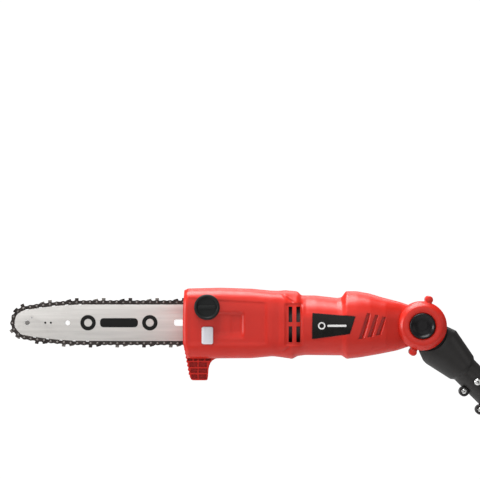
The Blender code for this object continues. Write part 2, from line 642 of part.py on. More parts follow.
def build_drive(frame):
    """Motor, its bearings, the bevel pair, spindle and chain sprocket."""
    axis = (0, MOTOR_Y, MOTOR_Z)
    spindle = (SPROCKET_X, 0, BAR_Z)
    motor_origin = (SPROCKET_X, MOTOR_Y, MOTOR_Z)
    add_piece("motor_stator", ring(20, 28.8, -165, -110, "X", axis, 22), frame, "cast_aluminium")
    core = ring(4.2, 18.5, -160, -115, "X", axis, 18)
    add_piece("rotor_core", core, frame, "copper", origin=motor_origin)
    shaft = turned([(0, -231.5), (3.0, -231.5), (3.0, -214), (3.9, -214), (3.9, -70), (0, -70)],
                   "X", axis, 12)
    add_piece("rotor_shaft", shaft, frame, "bright_steel", origin=motor_origin)
    commutator = ring(4.2, 11, -106, -92, "X", axis, 12)
    add_piece("commutator", commutator, frame, "copper", origin=motor_origin)
    fan = ring(4.2, 9, -187, -172, "X", axis, 12)
    blades = 9
    for i in range(blades):
        blade = box(-186.5, -173, -1, 1, 7, 27)
        turn = Matrix.Rotation(2 * math.pi * i / blades, 4, "X")
        bmesh.ops.transform(blade, matrix=Matrix.Translation(axis) @ turn, verts=blade.verts)
        fan = join(fan, blade)
    fan = join(fan, ring(8, 27.5, -174, -171.5, "X", axis, 18))
    add_piece("cooling_fan", fan, frame, "black_plastic", origin=motor_origin)
    add_piece("motor_bearing_front", ring(4.2, 9.5, -206, -199.5, "X", axis, 14), frame, "bright_steel")
    add_piece("motor_bearing_rear", ring(4.2, 9.5, -82, -75, "X", axis, 14), frame, "bright_steel")
    pinion = bevel_gear(PINION_TEETH, GEAR_TEETH, 9, 15.5, 27.5, 3.3, 0.75)
    turn_x = Matrix.Rotation(math.radians(90), 4, "Y")
    bmesh.ops.transform(pinion, matrix=Matrix.Translation(motor_origin) @ turn_x, verts=pinion.verts)
    add_piece("bevel_pinion", pinion, frame, "spring_steel", origin=motor_origin)
    gear = bevel_gear(GEAR_TEETH, PINION_TEETH, 9, 4.5, 15.5, 5.3, 0.5)
    turn_y = Matrix.Rotation(math.radians(90), 4, "X")
    bmesh.ops.transform(gear, matrix=Matrix.Translation(motor_origin) @ turn_y, verts=gear.verts)
    add_piece("bevel_gear", gear, frame, "spring_steel", origin=motor_origin)
    spindle_shaft = turned([(0, -29.5), (5.0, -29.5), (5.0, 20), (0, 20)], centre=spindle, steps=12)
    add_piece("spindle_shaft", spindle_shaft, frame, "bright_steel", origin=motor_origin)
    add_piece("spindle_bearing_near", ring(5.3, 9.5, -29, -22.5, centre=spindle, steps=14), frame,
              "bright_steel")
    add_piece("spindle_bearing_far", ring(5.3, 9.5, 0.8, 6.2, centre=spindle, steps=14), frame,
              "bright_steel")
    outline = []
    teeth = 6
    for i in range(teeth):
        for turn, radius in ((-0.28, 9.0), (-0.16, 11.6), (0.16, 11.6), (0.28, 9.0)):
            angle = 2 * math.pi * (i + turn) / teeth
            outline.append((SPROCKET_X + radius * math.cos(angle), BAR_Z + radius * math.sin(angle)))
    star = cut(prism(outline, BAR_Y - 3, BAR_Y + 3), rod(5.3, 0, 30, centre=spindle, steps=12))
    add_piece("drive_sprocket", star, frame, "spring_steel", origin=motor_origin)


def build_gear_case(frame):
    """Cast case round the bevel pair, open at each shaft."""
    spindle = (SPROCKET_X, 0, BAR_Z)
    axis = (0, MOTOR_Y, MOTOR_Z)
    case = soften(box(-273.5, -198.5, -32, 6.2, -26.5, 34.5), 4, 2)
    room = join(rod(28, -21, -0.5, centre=spindle, steps=22), rod(9.7, -234, -207, "X", axis, 20))
    case = cut(case, room)
    case = cut(case, rod(9.8, -40, -20, centre=spindle, steps=14),
               rod(9.8, -1, 20, centre=spindle, steps=14),
               rod(9.9, -208, -190, "X", axis, 14))
    case = cut(case, rod(3.6, -10, 20, centre=(TENSION_AT[0], 0, TENSION_AT[1]), steps=8))
    add_piece("gear_case", case, frame, "cast_aluminium")


def build_cover(frame):
    """Chain cover on the far side, and the knob that clamps it and the bar."""
    cover = soften(box(-337, -202, BLOCK_FAR + GAP, 38, -44, 49), 6, 2)
    cover = cut(cover, box(-350, -204.5, 0, 35.5, -41.5, 46.5))
    cover = join(cover, rod(9, 18.2, 36.5, centre=(STUD_X, 0, BAR_Z), steps=18))
    cover = cut(cover, rod(4.3, 0, 50, centre=(STUD_X, 0, BAR_Z), steps=12))
    add_piece("chain_cover", cover, frame, "black_plastic", origin=(STUD_X, 38, BAR_Z))
    profile = [(0, 50), (18, 50), (20, 48), (20, 38.4), (4.3, 38.4), (4.3, 46), (0, 46)]
    knob = turned(profile[::-1], centre=(STUD_X, 0, BAR_Z), steps=18)
    for i in range(8):
        angle = 2 * math.pi * i / 8
        dent = rod(4, 30, 60, centre=(STUD_X + 22.5 * math.cos(angle), 0, BAR_Z + 22.5 * math.sin(angle)),
                   steps=8)
        knob = cut(knob, dent)
    add_piece("cover_knob", knob, frame, "black_plastic", origin=(STUD_X, 38, BAR_Z))


# --- knuckle on the pole ---------------------------------------------------------
KNUCKLE_UPPER = [(39.5, 29.6), (82.9, 21.4), (86.3, 18.4), (KNUCKLE_END, 18.4)]
KNUCKLE_LOWER = [(KNUCKLE_END, -21.2), (87.1, -21.2), (82.4, -24.9), (42.9, -33.7), (36.3, -33.7)]
KNUCKLE_SCREWS = [(108, -23.7), (142.6, -25.7), (108, 20.7), (142.6, 22.7)]
CLAMP_SCREW = (111.7, -0.7)


def build_knuckle(frame):
    """Two moulded halves that join the pole to the drum, with their screws."""
    mouth = []
    for i in range(13):
        angle = math.radians(-51 + 94 * i / 12)
        mouth.append((38.8 * math.cos(angle), 38.8 * math.sin(angle)))
    body = soften(prism(mouth + KNUCKLE_UPPER + KNUCKLE_LOWER, -24, 24), 4, 2, 60)
    for t, w in KNUCKLE_SCREWS:
        body = join(body, rod(7.1, -13, 13, centre=(t, 0, w), steps=12))
    neck = join(rod(TONGUE_R, -TONGUE_HALF, TONGUE_HALF, steps=24),
                box(5, 50, -TONGUE_HALF, TONGUE_HALF, -19, 19))
    body = join(body, neck)
    bore = INNER_TUBE_R + GAP
    body = cut(body, rod(bore, INNER_TUBE[0] - 2, 200, "X", (0, 0, POLE_OFFSET), 22),
               rod(9, 48, INNER_TUBE[0], "X", (0, 0, POLE_OFFSET), 12),
               rod(PIVOT_PIN_R + GAP, -40, 40))
    for t, w in KNUCKLE_SCREWS:
        body = cut(body, rod(4.3, -30, -10.5, centre=(t, 0, w), steps=10),
                   rod(2.3, -30, 8, centre=(t, 0, w), steps=8))
    t, w = CLAMP_SCREW
    body = cut(body, rod(5.3, -30, -20.4, centre=(t, 0, w), steps=10),
               rod(2.3, -30, 22, centre=(t, 0, w), steps=8))
    near = keep(body.copy(), box(-60, 200, -60, -GAP / 2, -60, 60))
    far = keep(body, box(-60, 200, GAP / 2, 60, -60, 60))
    add_piece("knuckle_near", near, frame, "grey_plastic")
    add_piece("knuckle_far", far, frame, "grey_plastic")
    for number, (t, w) in enumerate(KNUCKLE_SCREWS, 1):
        screw = turned([(0, -13.2), (3.6, -13.2), (4, -12.4), (4, -10.8), (2, -10.8), (2, 7), (0, 7)],
                       centre=(t, 0, w), steps=10)
        add_piece("knuckle_screw_%d" % number, screw, frame, "bright_steel")
    t, w = CLAMP_SCREW
    screw = turned([(0, -23.6), (4.4, -23.6), (5, -22.6), (5, -20.7), (2, -20.7), (2, 21), (0, 21)],
                   centre=(t, 0, w), steps=10)
    add_piece("tube_screw", screw, frame, "bright_steel")
    add_piece("pivot_pin", rod(PIVOT_PIN_R, -15.8, 23.8, steps=14), frame, "bright_steel")
    notches = []
    teeth = 18
    for i in range(teeth):
        for turn, radius in ((0.0, 24.0), (0.25, 27.5), (0.75, 27.5), (0.999, 24.0)):
            angle = 2 * math.pi * (i + turn) / teeth
            notches.append((radius * math.cos(angle), radius * math.sin(angle)))
    plate = cut(prism(notches, -DRUM_SLOT + GAP, -TONGUE_HALF - GAP), rod(PIVOT_PIN_R + GAP, -40, 0))
    add_piece("detent_plate", plate, frame, "spring_steel")


# --- pole ------------------------------------------------------------------------
def build_pole(frame):
    """Telescoping tubes, their guide bush and the lever clamp."""
    axis = (0, 0, POLE_OFFSET)
    start, end = INNER_TUBE
    tube = ring(INNER_TUBE_R - TUBE_WALL, INNER_TUBE_R, start, end, "X", axis, 22)
    t, w = CLAMP_SCREW
    tube = cut(tube, rod(2.3, -30, 30, centre=(t, 0, w), steps=8))
    add_piece("inner_tube", tube, frame, "tube_aluminium")
    bush = turned([(INNER_TUBE_R - 4, end + GAP), (OUTER_TUBE_R - TUBE_WALL - GAP, end + GAP),
                   (OUTER_TUBE_R - TUBE_WALL - GAP, end + 14), (INNER_TUBE_R - 4, end + 14)],
                  "X", axis, 22)
    add_piece("glide_bush", bush, frame, "black_plastic")
    start, end = OUTER_TUBE
    tube = ring(OUTER_TUBE_R - TUBE_WALL, OUTER_TUBE_R, start, end, "X", axis, 22)
    add_piece("outer_tube", tube, frame, "painted_tube")
    inner = OUTER_TUBE_R + GAP
    collar = turned([(inner, 196.5), (inner, 262), (22, 262), (24, 258), (24, 200), (22, 193),
                     (INNER_TUBE_R + 0.4, 193), (INNER_TUBE_R + 0.4, 196.5)], "X", axis, 22)
    for side in (-1, 1):
        ear = soften(box(206, 240, side * 6 - 3, side * 6 + 3, -40, -20), 1.5, 2)
        collar = join(collar, ear)
    collar = cut(collar, box(190, 246, -2, 2, -60, -16),
                 rod(2.8, -30, 30, centre=(216, 0, -33), steps=10))
    add_piece("clamp_collar", collar, frame, "black_plastic")
    bolt = join(rod(2.5, -18.5, 13.5, centre=(216, 0, -33), steps=10),
                rod(5.5, 9.3, 13.0, centre=(216, 0, -33), steps=6))
    add_piece("clamp_bolt", bolt, frame, "bright_steel")
    lever = rod(7, -17, -9.4, centre=(216, 0, -33), steps=14)
    arm = soften(box(214, 272, -16.5, -10, -39.5, -33), 2, 2)
    lever = cut(join(lever, arm), rod(2.8, -30, 0, centre=(216, 0, -33), steps=10))
    add_piece("clamp_lever", lever, frame, "red_shell", origin=(216, 0, -33))


def build_grips(frame):
    """Foam fore-grip and the strap ring's band."""
    axis = (0, 0, POLE_OFFSET)
    inner = OUTER_TUBE_R + GAP
    profile = [(inner, 600), (inner, 860), (20.5, 860), (23, 856), (23.5, 730), (23, 604), (20.5, 600)]
    add_piece("front_grip", turned(profile, "X", axis, 22), frame, "rubber")
    band = ring(inner, 21, 890, 906, "X", axis, 22)
    eye = cut(soften(box(892.5, 903.5, -3, 3, 18, 40), 1.5, 2), rod(4.2, -20, 20, centre=(898, 0, 31), steps=12))
    add_piece("strap_ring", join(band, eye), frame, "bright_steel")


# --- rear handle -------------------------------------------------------------------
HANDLE_RINGS = [(1030, 20.5, 21, 21), (1036, 23.5, 24, 24), (1090, 26, 27, 31), (1112, 22, 24, 26),
                (1150, 18.5, 21, 21), (1200, 19, 22, 22), (1262, 20, 23, 23), (1290, 26, 28, 33),
                (1350, 27, 29, 33), (1370, 25, 27, 30)]
HANDLE_WALL = 2.6


def handle_sections(inset):
    """Rounded sections of the rear handle along the pole."""
    rings = []
    for t, half, up, down in HANDLE_RINGS:
        along = min(max(t, 1030 + 4 * inset), 1370 - inset) if inset else t
        points = []
        for i in range(20):
            angle = 2 * math.pi * i / 20
            c = math.cos(angle)
            s = math.sin(angle)
            flat = (abs(c) ** 2.6 + abs(s) ** 2.6) ** (-1 / 2.6)
            reach = (up if s > 0 else down) - inset
            points.append((along, (half - inset) * c * flat, POLE_OFFSET + reach * s * flat))
        rings.append(points)
    return rings


def build_handle(frame):
    """Rear handle halves, trigger, lock-off button, switch, inlet and screws."""
    body = cut(loft(handle_sections(0)), loft(handle_sections(HANDLE_WALL)))
    sleeve = ring(OUTER_TUBE_R - 2, 25, 1040, 1056, "X", (0, 0, POLE_OFFSET), 22)
    body = join(body, sleeve)
    body = cut(body, rod(OUTER_TUBE_R + GAP, 1020, 1081, "X", (0, 0, POLE_OFFSET), 22))
    body = cut(body, box(1093, 1151, -7.3, 7.3, -60, -14))
    body = cut(body, box(1090, 1108, -5.3, 5.3, 10, 60))
    body = cut(body, rod(14.3, 1350, 1400, "X", (0, 0, POLE_OFFSET), 18))
    screws = [(1206, 0.0), (1310, -18.0)]
    for t, w in screws:
        body = join(body, rod(5, -22, 22, centre=(t, 0, w), steps=10))
        body = cut(body, rod(4.3, -40, -18, centre=(t, 0, w), steps=10),
                   rod(2.3, -40, 14, centre=(t, 0, w), steps=8))
    near = keep(body.copy(), box(1000, 1400, -80, -GAP / 2, -80, 80))
    far = keep(body, box(1000, 1400, GAP / 2, 80, -80, 80))
    add_piece("handle_near", near, frame, "grey_plastic")
    add_piece("handle_far", far, frame, "grey_plastic")
    for number, (t, w) in enumerate(screws, 1):
        screw = turned([(0, -21), (3.6, -21), (4, -20.2), (4, -18.3), (2, -18.3), (2, 13), (0, 13)],
                       centre=(t, 0, w), steps=10)
        add_piece("handle_screw_%d" % number, screw, frame, "bright_steel")
    blade = [(1097, -20.5), (1147, -20.5), (1147, -24), (1136, -28), (1120, -36), (1108, -38.5),
             (1100, -36)]
    trigger = soften(prism(blade, -6.8, 6.8), 1.5, 2)
    add_piece("trigger", trigger, frame, "black_plastic", origin=(1145, 0, -22))
    lock = soften(box(1091, 1107, -4.8, 4.8, 14, 31), 1.5, 2)
    add_piece("lock_button", lock, frame, "red_shell", origin=(1099, 0, 26))
    switch = soften(box(1155, 1190, -8, 8, -13, 8), 1, 1)
    add_piece("power_switch", switch, frame, "carbon")
    inlet = ring(11, 14, 1345, 1368, "X", (0, 0, POLE_OFFSET), 18)
    inlet = join(inlet, rod(12, 1345, 1350, "X", (0, 0, POLE_OFFSET), 18))
    for side in (-1, 1):
        inlet = join(inlet, rod(2, 1349, 1365, "X", (0, side * 5, POLE_OFFSET), 8))
    add_piece("power_inlet", inlet, frame, "black_plastic")


def main():
    """Build every piece."""
    clear_scene()
    lean = math.radians(POLE_ANGLE)
    off = -POLE_OFFSET
    pivot_x = -GRIP_TO_PIVOT * math.cos(lean) + off * math.sin(lean)
    pivot_z = GRIP_TO_PIVOT * math.sin(lean) + off * math.cos(lean)
    pivot = (pivot_x * MM, 0.0, pivot_z * MM)
    head = add_frame("head_frame", pivot)
    pole = add_frame("pole_frame", pivot, POLE_ANGLE)
    build_head_shells(head)
    build_branch_hook(head)
    build_tilt_button(head)
    build_head_trim(head)
    build_oil_parts(head)
    build_bar(head)
    build_chain(head)
    build_bar_mount(head)
    build_drive(head)
    build_gear_case(head)
    build_cover(head)
    build_knuckle(pole)
    build_pole(pole)
    build_grips(pole)
    build_handle(pole)
    bpy.context.view_layer.update()


main()
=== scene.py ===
"""Finished look of a telescoping pole saw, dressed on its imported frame.

Sizes are in millimetres in two working frames, both on the head's tilt axis:
  HEAD  +X towards the pole, +Z up, -Y the oil-cap side
  POLE  +X down the pole towards the grip, +Z square to it, Y as in HEAD
Place.world turns them into metres in the shared frame.
"""
from __future__ import annotations

import json
import logging
import math
from dataclasses import dataclass, field
from enum import Enum

import bmesh
import bpy
import numpy as np
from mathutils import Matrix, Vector


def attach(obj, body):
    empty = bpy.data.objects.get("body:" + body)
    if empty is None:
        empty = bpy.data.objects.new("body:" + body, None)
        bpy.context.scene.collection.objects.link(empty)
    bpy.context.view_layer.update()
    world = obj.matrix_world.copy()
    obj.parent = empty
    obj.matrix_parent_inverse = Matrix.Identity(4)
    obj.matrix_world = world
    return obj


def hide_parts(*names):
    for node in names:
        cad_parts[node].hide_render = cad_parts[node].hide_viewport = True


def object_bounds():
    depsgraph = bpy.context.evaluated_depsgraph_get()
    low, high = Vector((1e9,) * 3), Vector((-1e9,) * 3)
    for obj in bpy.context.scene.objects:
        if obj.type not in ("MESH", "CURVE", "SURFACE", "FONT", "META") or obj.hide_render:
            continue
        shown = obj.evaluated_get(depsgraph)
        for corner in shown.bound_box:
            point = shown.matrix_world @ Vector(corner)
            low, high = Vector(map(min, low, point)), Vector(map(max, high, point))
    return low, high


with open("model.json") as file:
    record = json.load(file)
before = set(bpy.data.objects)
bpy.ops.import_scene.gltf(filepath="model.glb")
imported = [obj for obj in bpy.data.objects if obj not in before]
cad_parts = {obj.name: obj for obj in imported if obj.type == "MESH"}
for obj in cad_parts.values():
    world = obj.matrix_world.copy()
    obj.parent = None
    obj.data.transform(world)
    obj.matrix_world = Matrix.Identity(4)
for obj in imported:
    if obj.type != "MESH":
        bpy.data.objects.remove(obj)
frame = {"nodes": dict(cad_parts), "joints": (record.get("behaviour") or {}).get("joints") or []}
cad_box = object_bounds()

log = logging.getLogger("pole_saw")
Array = np.ndarray
Point = tuple[float, float]

MM = 0.001
FAR = 60.0          # past every face of the head and the knuckle, for cutting tools
PIN_R = 5.3         # bore for the pivot pin, through the drum and the tongue
JOINTS = {joint["name"]: joint for joint in frame["joints"]}
PIVOT = np.array(JOINTS["tilt"]["pos_m"])
POLE_DOWN = -np.array(JOINTS["telescope"]["axis"])


# --------------------------------------------------------------------------
# Places, shapes and mesh work
# --------------------------------------------------------------------------
@dataclass(frozen=True)
class Place:
    """A working frame: where its origin is and which way its axes point."""

    origin: Array
    axes: Array

    def world(self, points: Array) -> Array:
        """Carry millimetre points into metres in the shared frame: origin + axes * point."""
        return self.origin + (points @ self.axes) * MM


HEAD = Place(PIVOT, np.eye(3))
POLE = Place(PIVOT, np.array([POLE_DOWN, [0.0, 1.0, 0.0], [-POLE_DOWN[2], 0.0, POLE_DOWN[0]]]))


@dataclass
class Shape:
    """Closed surfaces in a working frame; sound means the faces already point outwards."""

    points: Array
    faces: list[tuple[int, ...]]
    sound: bool = False

    def moved(self, offset: tuple[float, float, float]) -> "Shape":
        """The same shape shifted by offset."""
        return Shape(self.points + np.array(offset), self.faces, self.sound)

    def flipped(self) -> "Shape":
        """The same shape mirrored across the Y = 0 plane, faces turned to match."""
        return Shape(self.points * np.array([1.0, -1.0, 1.0]), [face[::-1] for face in self.faces],
                     self.sound)


def gathered(*shapes: Shape) -> Shape:
    """Put several shapes into one, renumbering their faces.

    Args:
        shapes: the shapes to gather.

    Returns:
        One shape with all their points and faces.
    """
    points = np.concatenate([shape.points for shape in shapes])
    faces: list[tuple[int, ...]] = []
    start = 0
    for shape in shapes:
        faces += [tuple(index + start for index in face) for face in shape.faces]
        start += len(shape.points)
    return Shape(points, faces, all(shape.sound for shape in shapes))


def skin(rings: Array, wrap: bool = False) -> Shape:
    """Skin closed rings in order: quad (i, j) joins ring i to ring i+1 at side j.

    Args:
        rings: array (rings, points a ring, 3).
        wrap: join the last ring to the first instead of capping both ends.

    Returns:
        A closed surface.
    """
    count, sides, _ = rings.shape
    index = np.arange(count * sides).reshape(count, sides)
    low = index if wrap else index[:-1]
    high = np.roll(index, -1, axis=0) if wrap else index[1:]
    quads = np.stack([low, np.roll(low, -1, axis=1), np.roll(high, -1, axis=1), high], axis=-1)
    faces = [tuple(quad) for quad in quads.reshape(-1, 4).tolist()]
    if not wrap:
        faces += [tuple(index[0][::-1].tolist()), tuple(index[-1].tolist())]
    return Shape(rings.reshape(-1, 3), faces)


class Axis(Enum):
    """Which way a turned piece's axis points."""

    X = 0
    Y = 1
    Z = 2


def turned(profile: list[Point], axis: Axis = Axis.Y,
           centre: tuple[float, float, float] = (0, 0, 0), steps: int = 64,
           rounding: float = 0.0) -> Shape:
    """Turn a (radius, along) profile: point = along * axis + radius * (cos a, sin a).

    Args:
        profile: outline from one end to the other; radius 0 at both ends makes it solid.
        axis: the axis it is turned about.
        centre: a point the axis goes through.
        steps: sides round the axis.
        rounding: radius of the small rounding on every profile corner.

    Returns:
        A closed surface.
    """
    solid = profile[0][0] == 0
    line = np.array(profile, dtype=float)
    if rounding:
        line = filleted(line, rounding, closed=not solid)
    if solid:
        line = line[line[:, 0] > 1e-6]
    angle = np.linspace(0, 2 * np.pi, steps, endpoint=False)
    radius = line[:, :1]
    along = np.repeat(line[:, 1:2], steps, axis=1)
    across = radius * np.cos(angle)
    up = radius * np.sin(angle)
    order = {Axis.X: (along, across, up), Axis.Y: (across, along, up), Axis.Z: (across, up, along)}
    rings = np.stack(order[axis], axis=-1) + np.array(centre)
    return skin(rings, wrap=not solid)


def rod(radius: float, low: float, high: float, axis: Axis = Axis.Y,
        centre: tuple[float, float, float] = (0, 0, 0), steps: int = 64,
        rounding: float = 0.0) -> Shape:
    """Turn a plain round bar.

    Args:
        radius: its radius.
        low: where it starts along its axis.
        high: where it ends.
        axis: the axis it is turned about.
        centre: a point the axis goes through.
        steps: sides round the axis.
        rounding: radius of the small rounding on its edges.

    Returns:
        A closed surface.
    """
    return turned([(0, low), (radius, low), (radius, high), (0, high)], axis, centre, steps,
                  rounding)


def filleted(line: Array, radius: float, closed: bool = True, steps: int = 4) -> Array:
    """Round a polyline's corners: each becomes a quadratic curve between points set back from it.

    Args:
        line: array (points, 2).
        radius: how far the curve reaches back from the corner.
        closed: whether the line's ends join.
        steps: pieces in each curve.

    Returns:
        The rounded polyline.
    """
    before = np.roll(line, 1, axis=0) - line
    after = np.roll(line, -1, axis=0) - line
    long_before = np.linalg.norm(before, axis=1, keepdims=True) + 1e-9
    long_after = np.linalg.norm(after, axis=1, keepdims=True) + 1e-9
    back = np.minimum(radius, 0.45 * np.minimum(long_before, long_after))
    start = line + before / long_before * back
    end = line + after / long_after * back
    share = np.linspace(0, 1, steps + 1)[None, :, None]
    curves = (1 - share) ** 2 * start[:, None] + 2 * share * (1 - share) * line[:, None]
    curves += share ** 2 * end[:, None]
    if closed:
        return curves.reshape(-1, 2)
    return np.concatenate([line[:1], curves[1:-1].reshape(-1, 2), line[-1:]])


def inset(outline: Array, depth: float) -> Array:
    """Move each corner of a closed outline inwards along the mean of its two side normals.

    Args:
        outline: array (points, 2), counter-clockwise.
        depth: how far in.

    Returns:
        The smaller outline.
    """
    ahead = np.roll(outline, -1, axis=0) - outline
    ahead /= np.linalg.norm(ahead, axis=1, keepdims=True) + 1e-9
    behind = np.roll(ahead, 1, axis=0)
    normal = np.stack([-(ahead + behind)[:, 1], (ahead + behind)[:, 0]], axis=1)
    normal /= np.linalg.norm(normal, axis=1, keepdims=True) + 1e-9
    spread = np.clip((normal * np.stack([-ahead[:, 1], ahead[:, 0]], axis=1)).sum(axis=1), 0.5, 1)
    return outline + normal * (depth / spread)[:, None]


def slab(outline: list[Point] | Array, low: float, high: float, edge: float = 0.0,
         corner: float = 0.0, edge_steps: int = 3) -> Shape:
    """Extrude an (x, z) outline along Y with quarter-round edges.

    Args:
        outline: the outline's points.
        low: where it starts along Y.
        high: where it ends.
        edge: radius of the rounding between face and side.
        corner: rounding of the outline's own corners.
        edge_steps: pieces in each rounded edge.

    Returns:
        A closed surface.
    """
    line = np.array(outline, dtype=float)
    area = np.sum(line[:, 0] * np.roll(line[:, 1], -1) - np.roll(line[:, 0], -1) * line[:, 1])
    if area < 0:
        line = line[::-1]
    if corner:
        line = filleted(line, corner)
    turns = np.linspace(0, np.pi / 2, edge_steps + 1) if edge else np.array([0.0])
    levels = [(low + edge * (1 - math.cos(t)),
               edge * (1 - math.sin(t))) for t in turns] if edge else [(low, 0.0)]
    mirrored = [(high - (y - low), depth) for y, depth in levels[::-1]]
    rings = []
    for y, depth in levels + mirrored:
        ring = inset(line, depth) if depth else line
        rings.append(np.stack([ring[:, 0], np.full(len(ring), y), ring[:, 1]], axis=1))
    return skin(np.array(rings))


def block(x: Point, y: Point, z: Point, edge: float = 0.0) -> Shape:
    """A box between two corners, its edges along X and Z rounded."""
    outline = [(x[0], z[0]), (x[1], z[0]), (x[1], z[1]), (x[0], z[1])]
    return slab(outline, y[0], y[1], edge, corner=edge)


def rounded_box_outline(x: float, z: float, half_x: float, half_z: float, corner: float) -> Array:
    """Outline of a rectangle about (x, z) with round corners."""
    line = np.array([(x - half_x, z - half_z), (x + half_x, z - half_z),
                     (x + half_x, z + half_z), (x - half_x, z + half_z)], dtype=float)
    return filleted(line, corner, steps=6)


def swept(path: Array, radius: Array | float, sides: int = 12) -> Shape:
    """Carry a circle square to a path: point = path + r (cos a * side + sin a * up).

    Args:
        path: array (points, 3).
        radius: one radius, or one for each point.
        sides: sides round the path.

    Returns:
        A closed tube.
    """
    ahead = np.gradient(path, axis=0)
    ahead /= np.linalg.norm(ahead, axis=1, keepdims=True)
    guide = np.where(np.abs(ahead[:, 1:2]) > 0.9, [[1.0, 0.0, 0.0]], [[0.0, 1.0, 0.0]])
    side = np.cross(ahead, guide)
    side /= np.linalg.norm(side, axis=1, keepdims=True)
    up = np.cross(side, ahead)
    angle = np.linspace(0, 2 * np.pi, sides, endpoint=False)[None, :, None]
    reach = np.broadcast_to(np.asarray(radius, dtype=float), (len(path),))[:, None, None]
    rings = path[:, None] + reach * (np.cos(angle) * side[:, None] + np.sin(angle) * up[:, None])
    return skin(rings)


def raw_object(name: str, shape: Shape, place: Place | None = None) -> bpy.types.Object:
    """Make a mesh object from a shape, with its faces turned outwards.

    Args:
        name: the object's name.
        shape: its surface.
        place: the frame its points are in; None leaves them as they are.

    Returns:
        The new object, at the origin.
    """
    points = place.world(shape.points) if place else shape.points
    mesh = bpy.data.meshes.new(name)
    mesh.from_pydata(points.tolist(), [], shape.faces)
    if not shape.sound:
        work = bmesh.new()
        work.from_mesh(mesh)
        bmesh.ops.recalc_face_normals(work, faces=work.faces)
        work.to_mesh(mesh)
        work.free()
    piece = bpy.data.objects.new(name, mesh)
    bpy.context.scene.collection.objects.link(piece)
    return piece


def carved(body: bpy.types.Object, tool: Shape, how: str = "DIFFERENCE") -> bpy.types.Object:
    """Cut, join or keep with a tool shape by a Boolean, applied at once.

    The quick solver goes first; the exact one takes over where it leaves the body as it was.

    Args:
        body: the object to change, in millimetres.
        tool: the other shape, in the same frame.
        how: DIFFERENCE, UNION or INTERSECT.

    Returns:
        The same object with its new mesh.
    """
    helper = raw_object("helper", tool)
    change = body.modifiers.new("carve", "BOOLEAN")
    change.operation = how
    change.object = helper
    for solver in ("MANIFOLD", "EXACT"):
        change.solver = solver
        change.use_self = solver == "EXACT"
        ready = body.evaluated_get(bpy.context.evaluated_depsgraph_get())
        result = bpy.data.meshes.new_from_object(ready)
        if len(result.vertices) not in (0, len(body.data.vertices)):
            break
        log.info("%s left %s unchanged", solver, body.name)
    body.modifiers.clear()
    old, old_helper = body.data, helper.data
    body.data = result
    bpy.data.objects.remove(helper)
    for mesh in (old, old_helper):
        bpy.data.meshes.remove(mesh)
    return body


def carved_shape(shape: Shape, *tools: tuple[Shape, str]) -> Shape:
    """Run several Booleans on a shape and read the result back.

    Args:
        shape: the body.
        tools: pairs of tool shape and operation name.

    Returns:
        The finished shape.
    """
    body = raw_object("work", shape)
    for tool, how in tools:
        carved(body, tool, how)
    mesh = body.data
    points = np.empty(len(mesh.vertices) * 3)
    mesh.vertices.foreach_get("co", points)
    faces = [tuple(polygon.vertices) for polygon in mesh.polygons]
    bpy.data.objects.remove(body)
    bpy.data.meshes.remove(mesh)
    return Shape(points.reshape(-1, 3), faces, sound=True)


# --------------------------------------------------------------------------
# Finishes
# --------------------------------------------------------------------------
class Grain(Enum):
    """How a surface is broken up, from the way it was made."""

    MOULDED = "moulded"
    BRUSHED = "brushed"
    TURNED = "turned"
    CAST = "cast"
    OXIDE = "oxide"
    FOAM = "foam"
    MILKY = "milky"


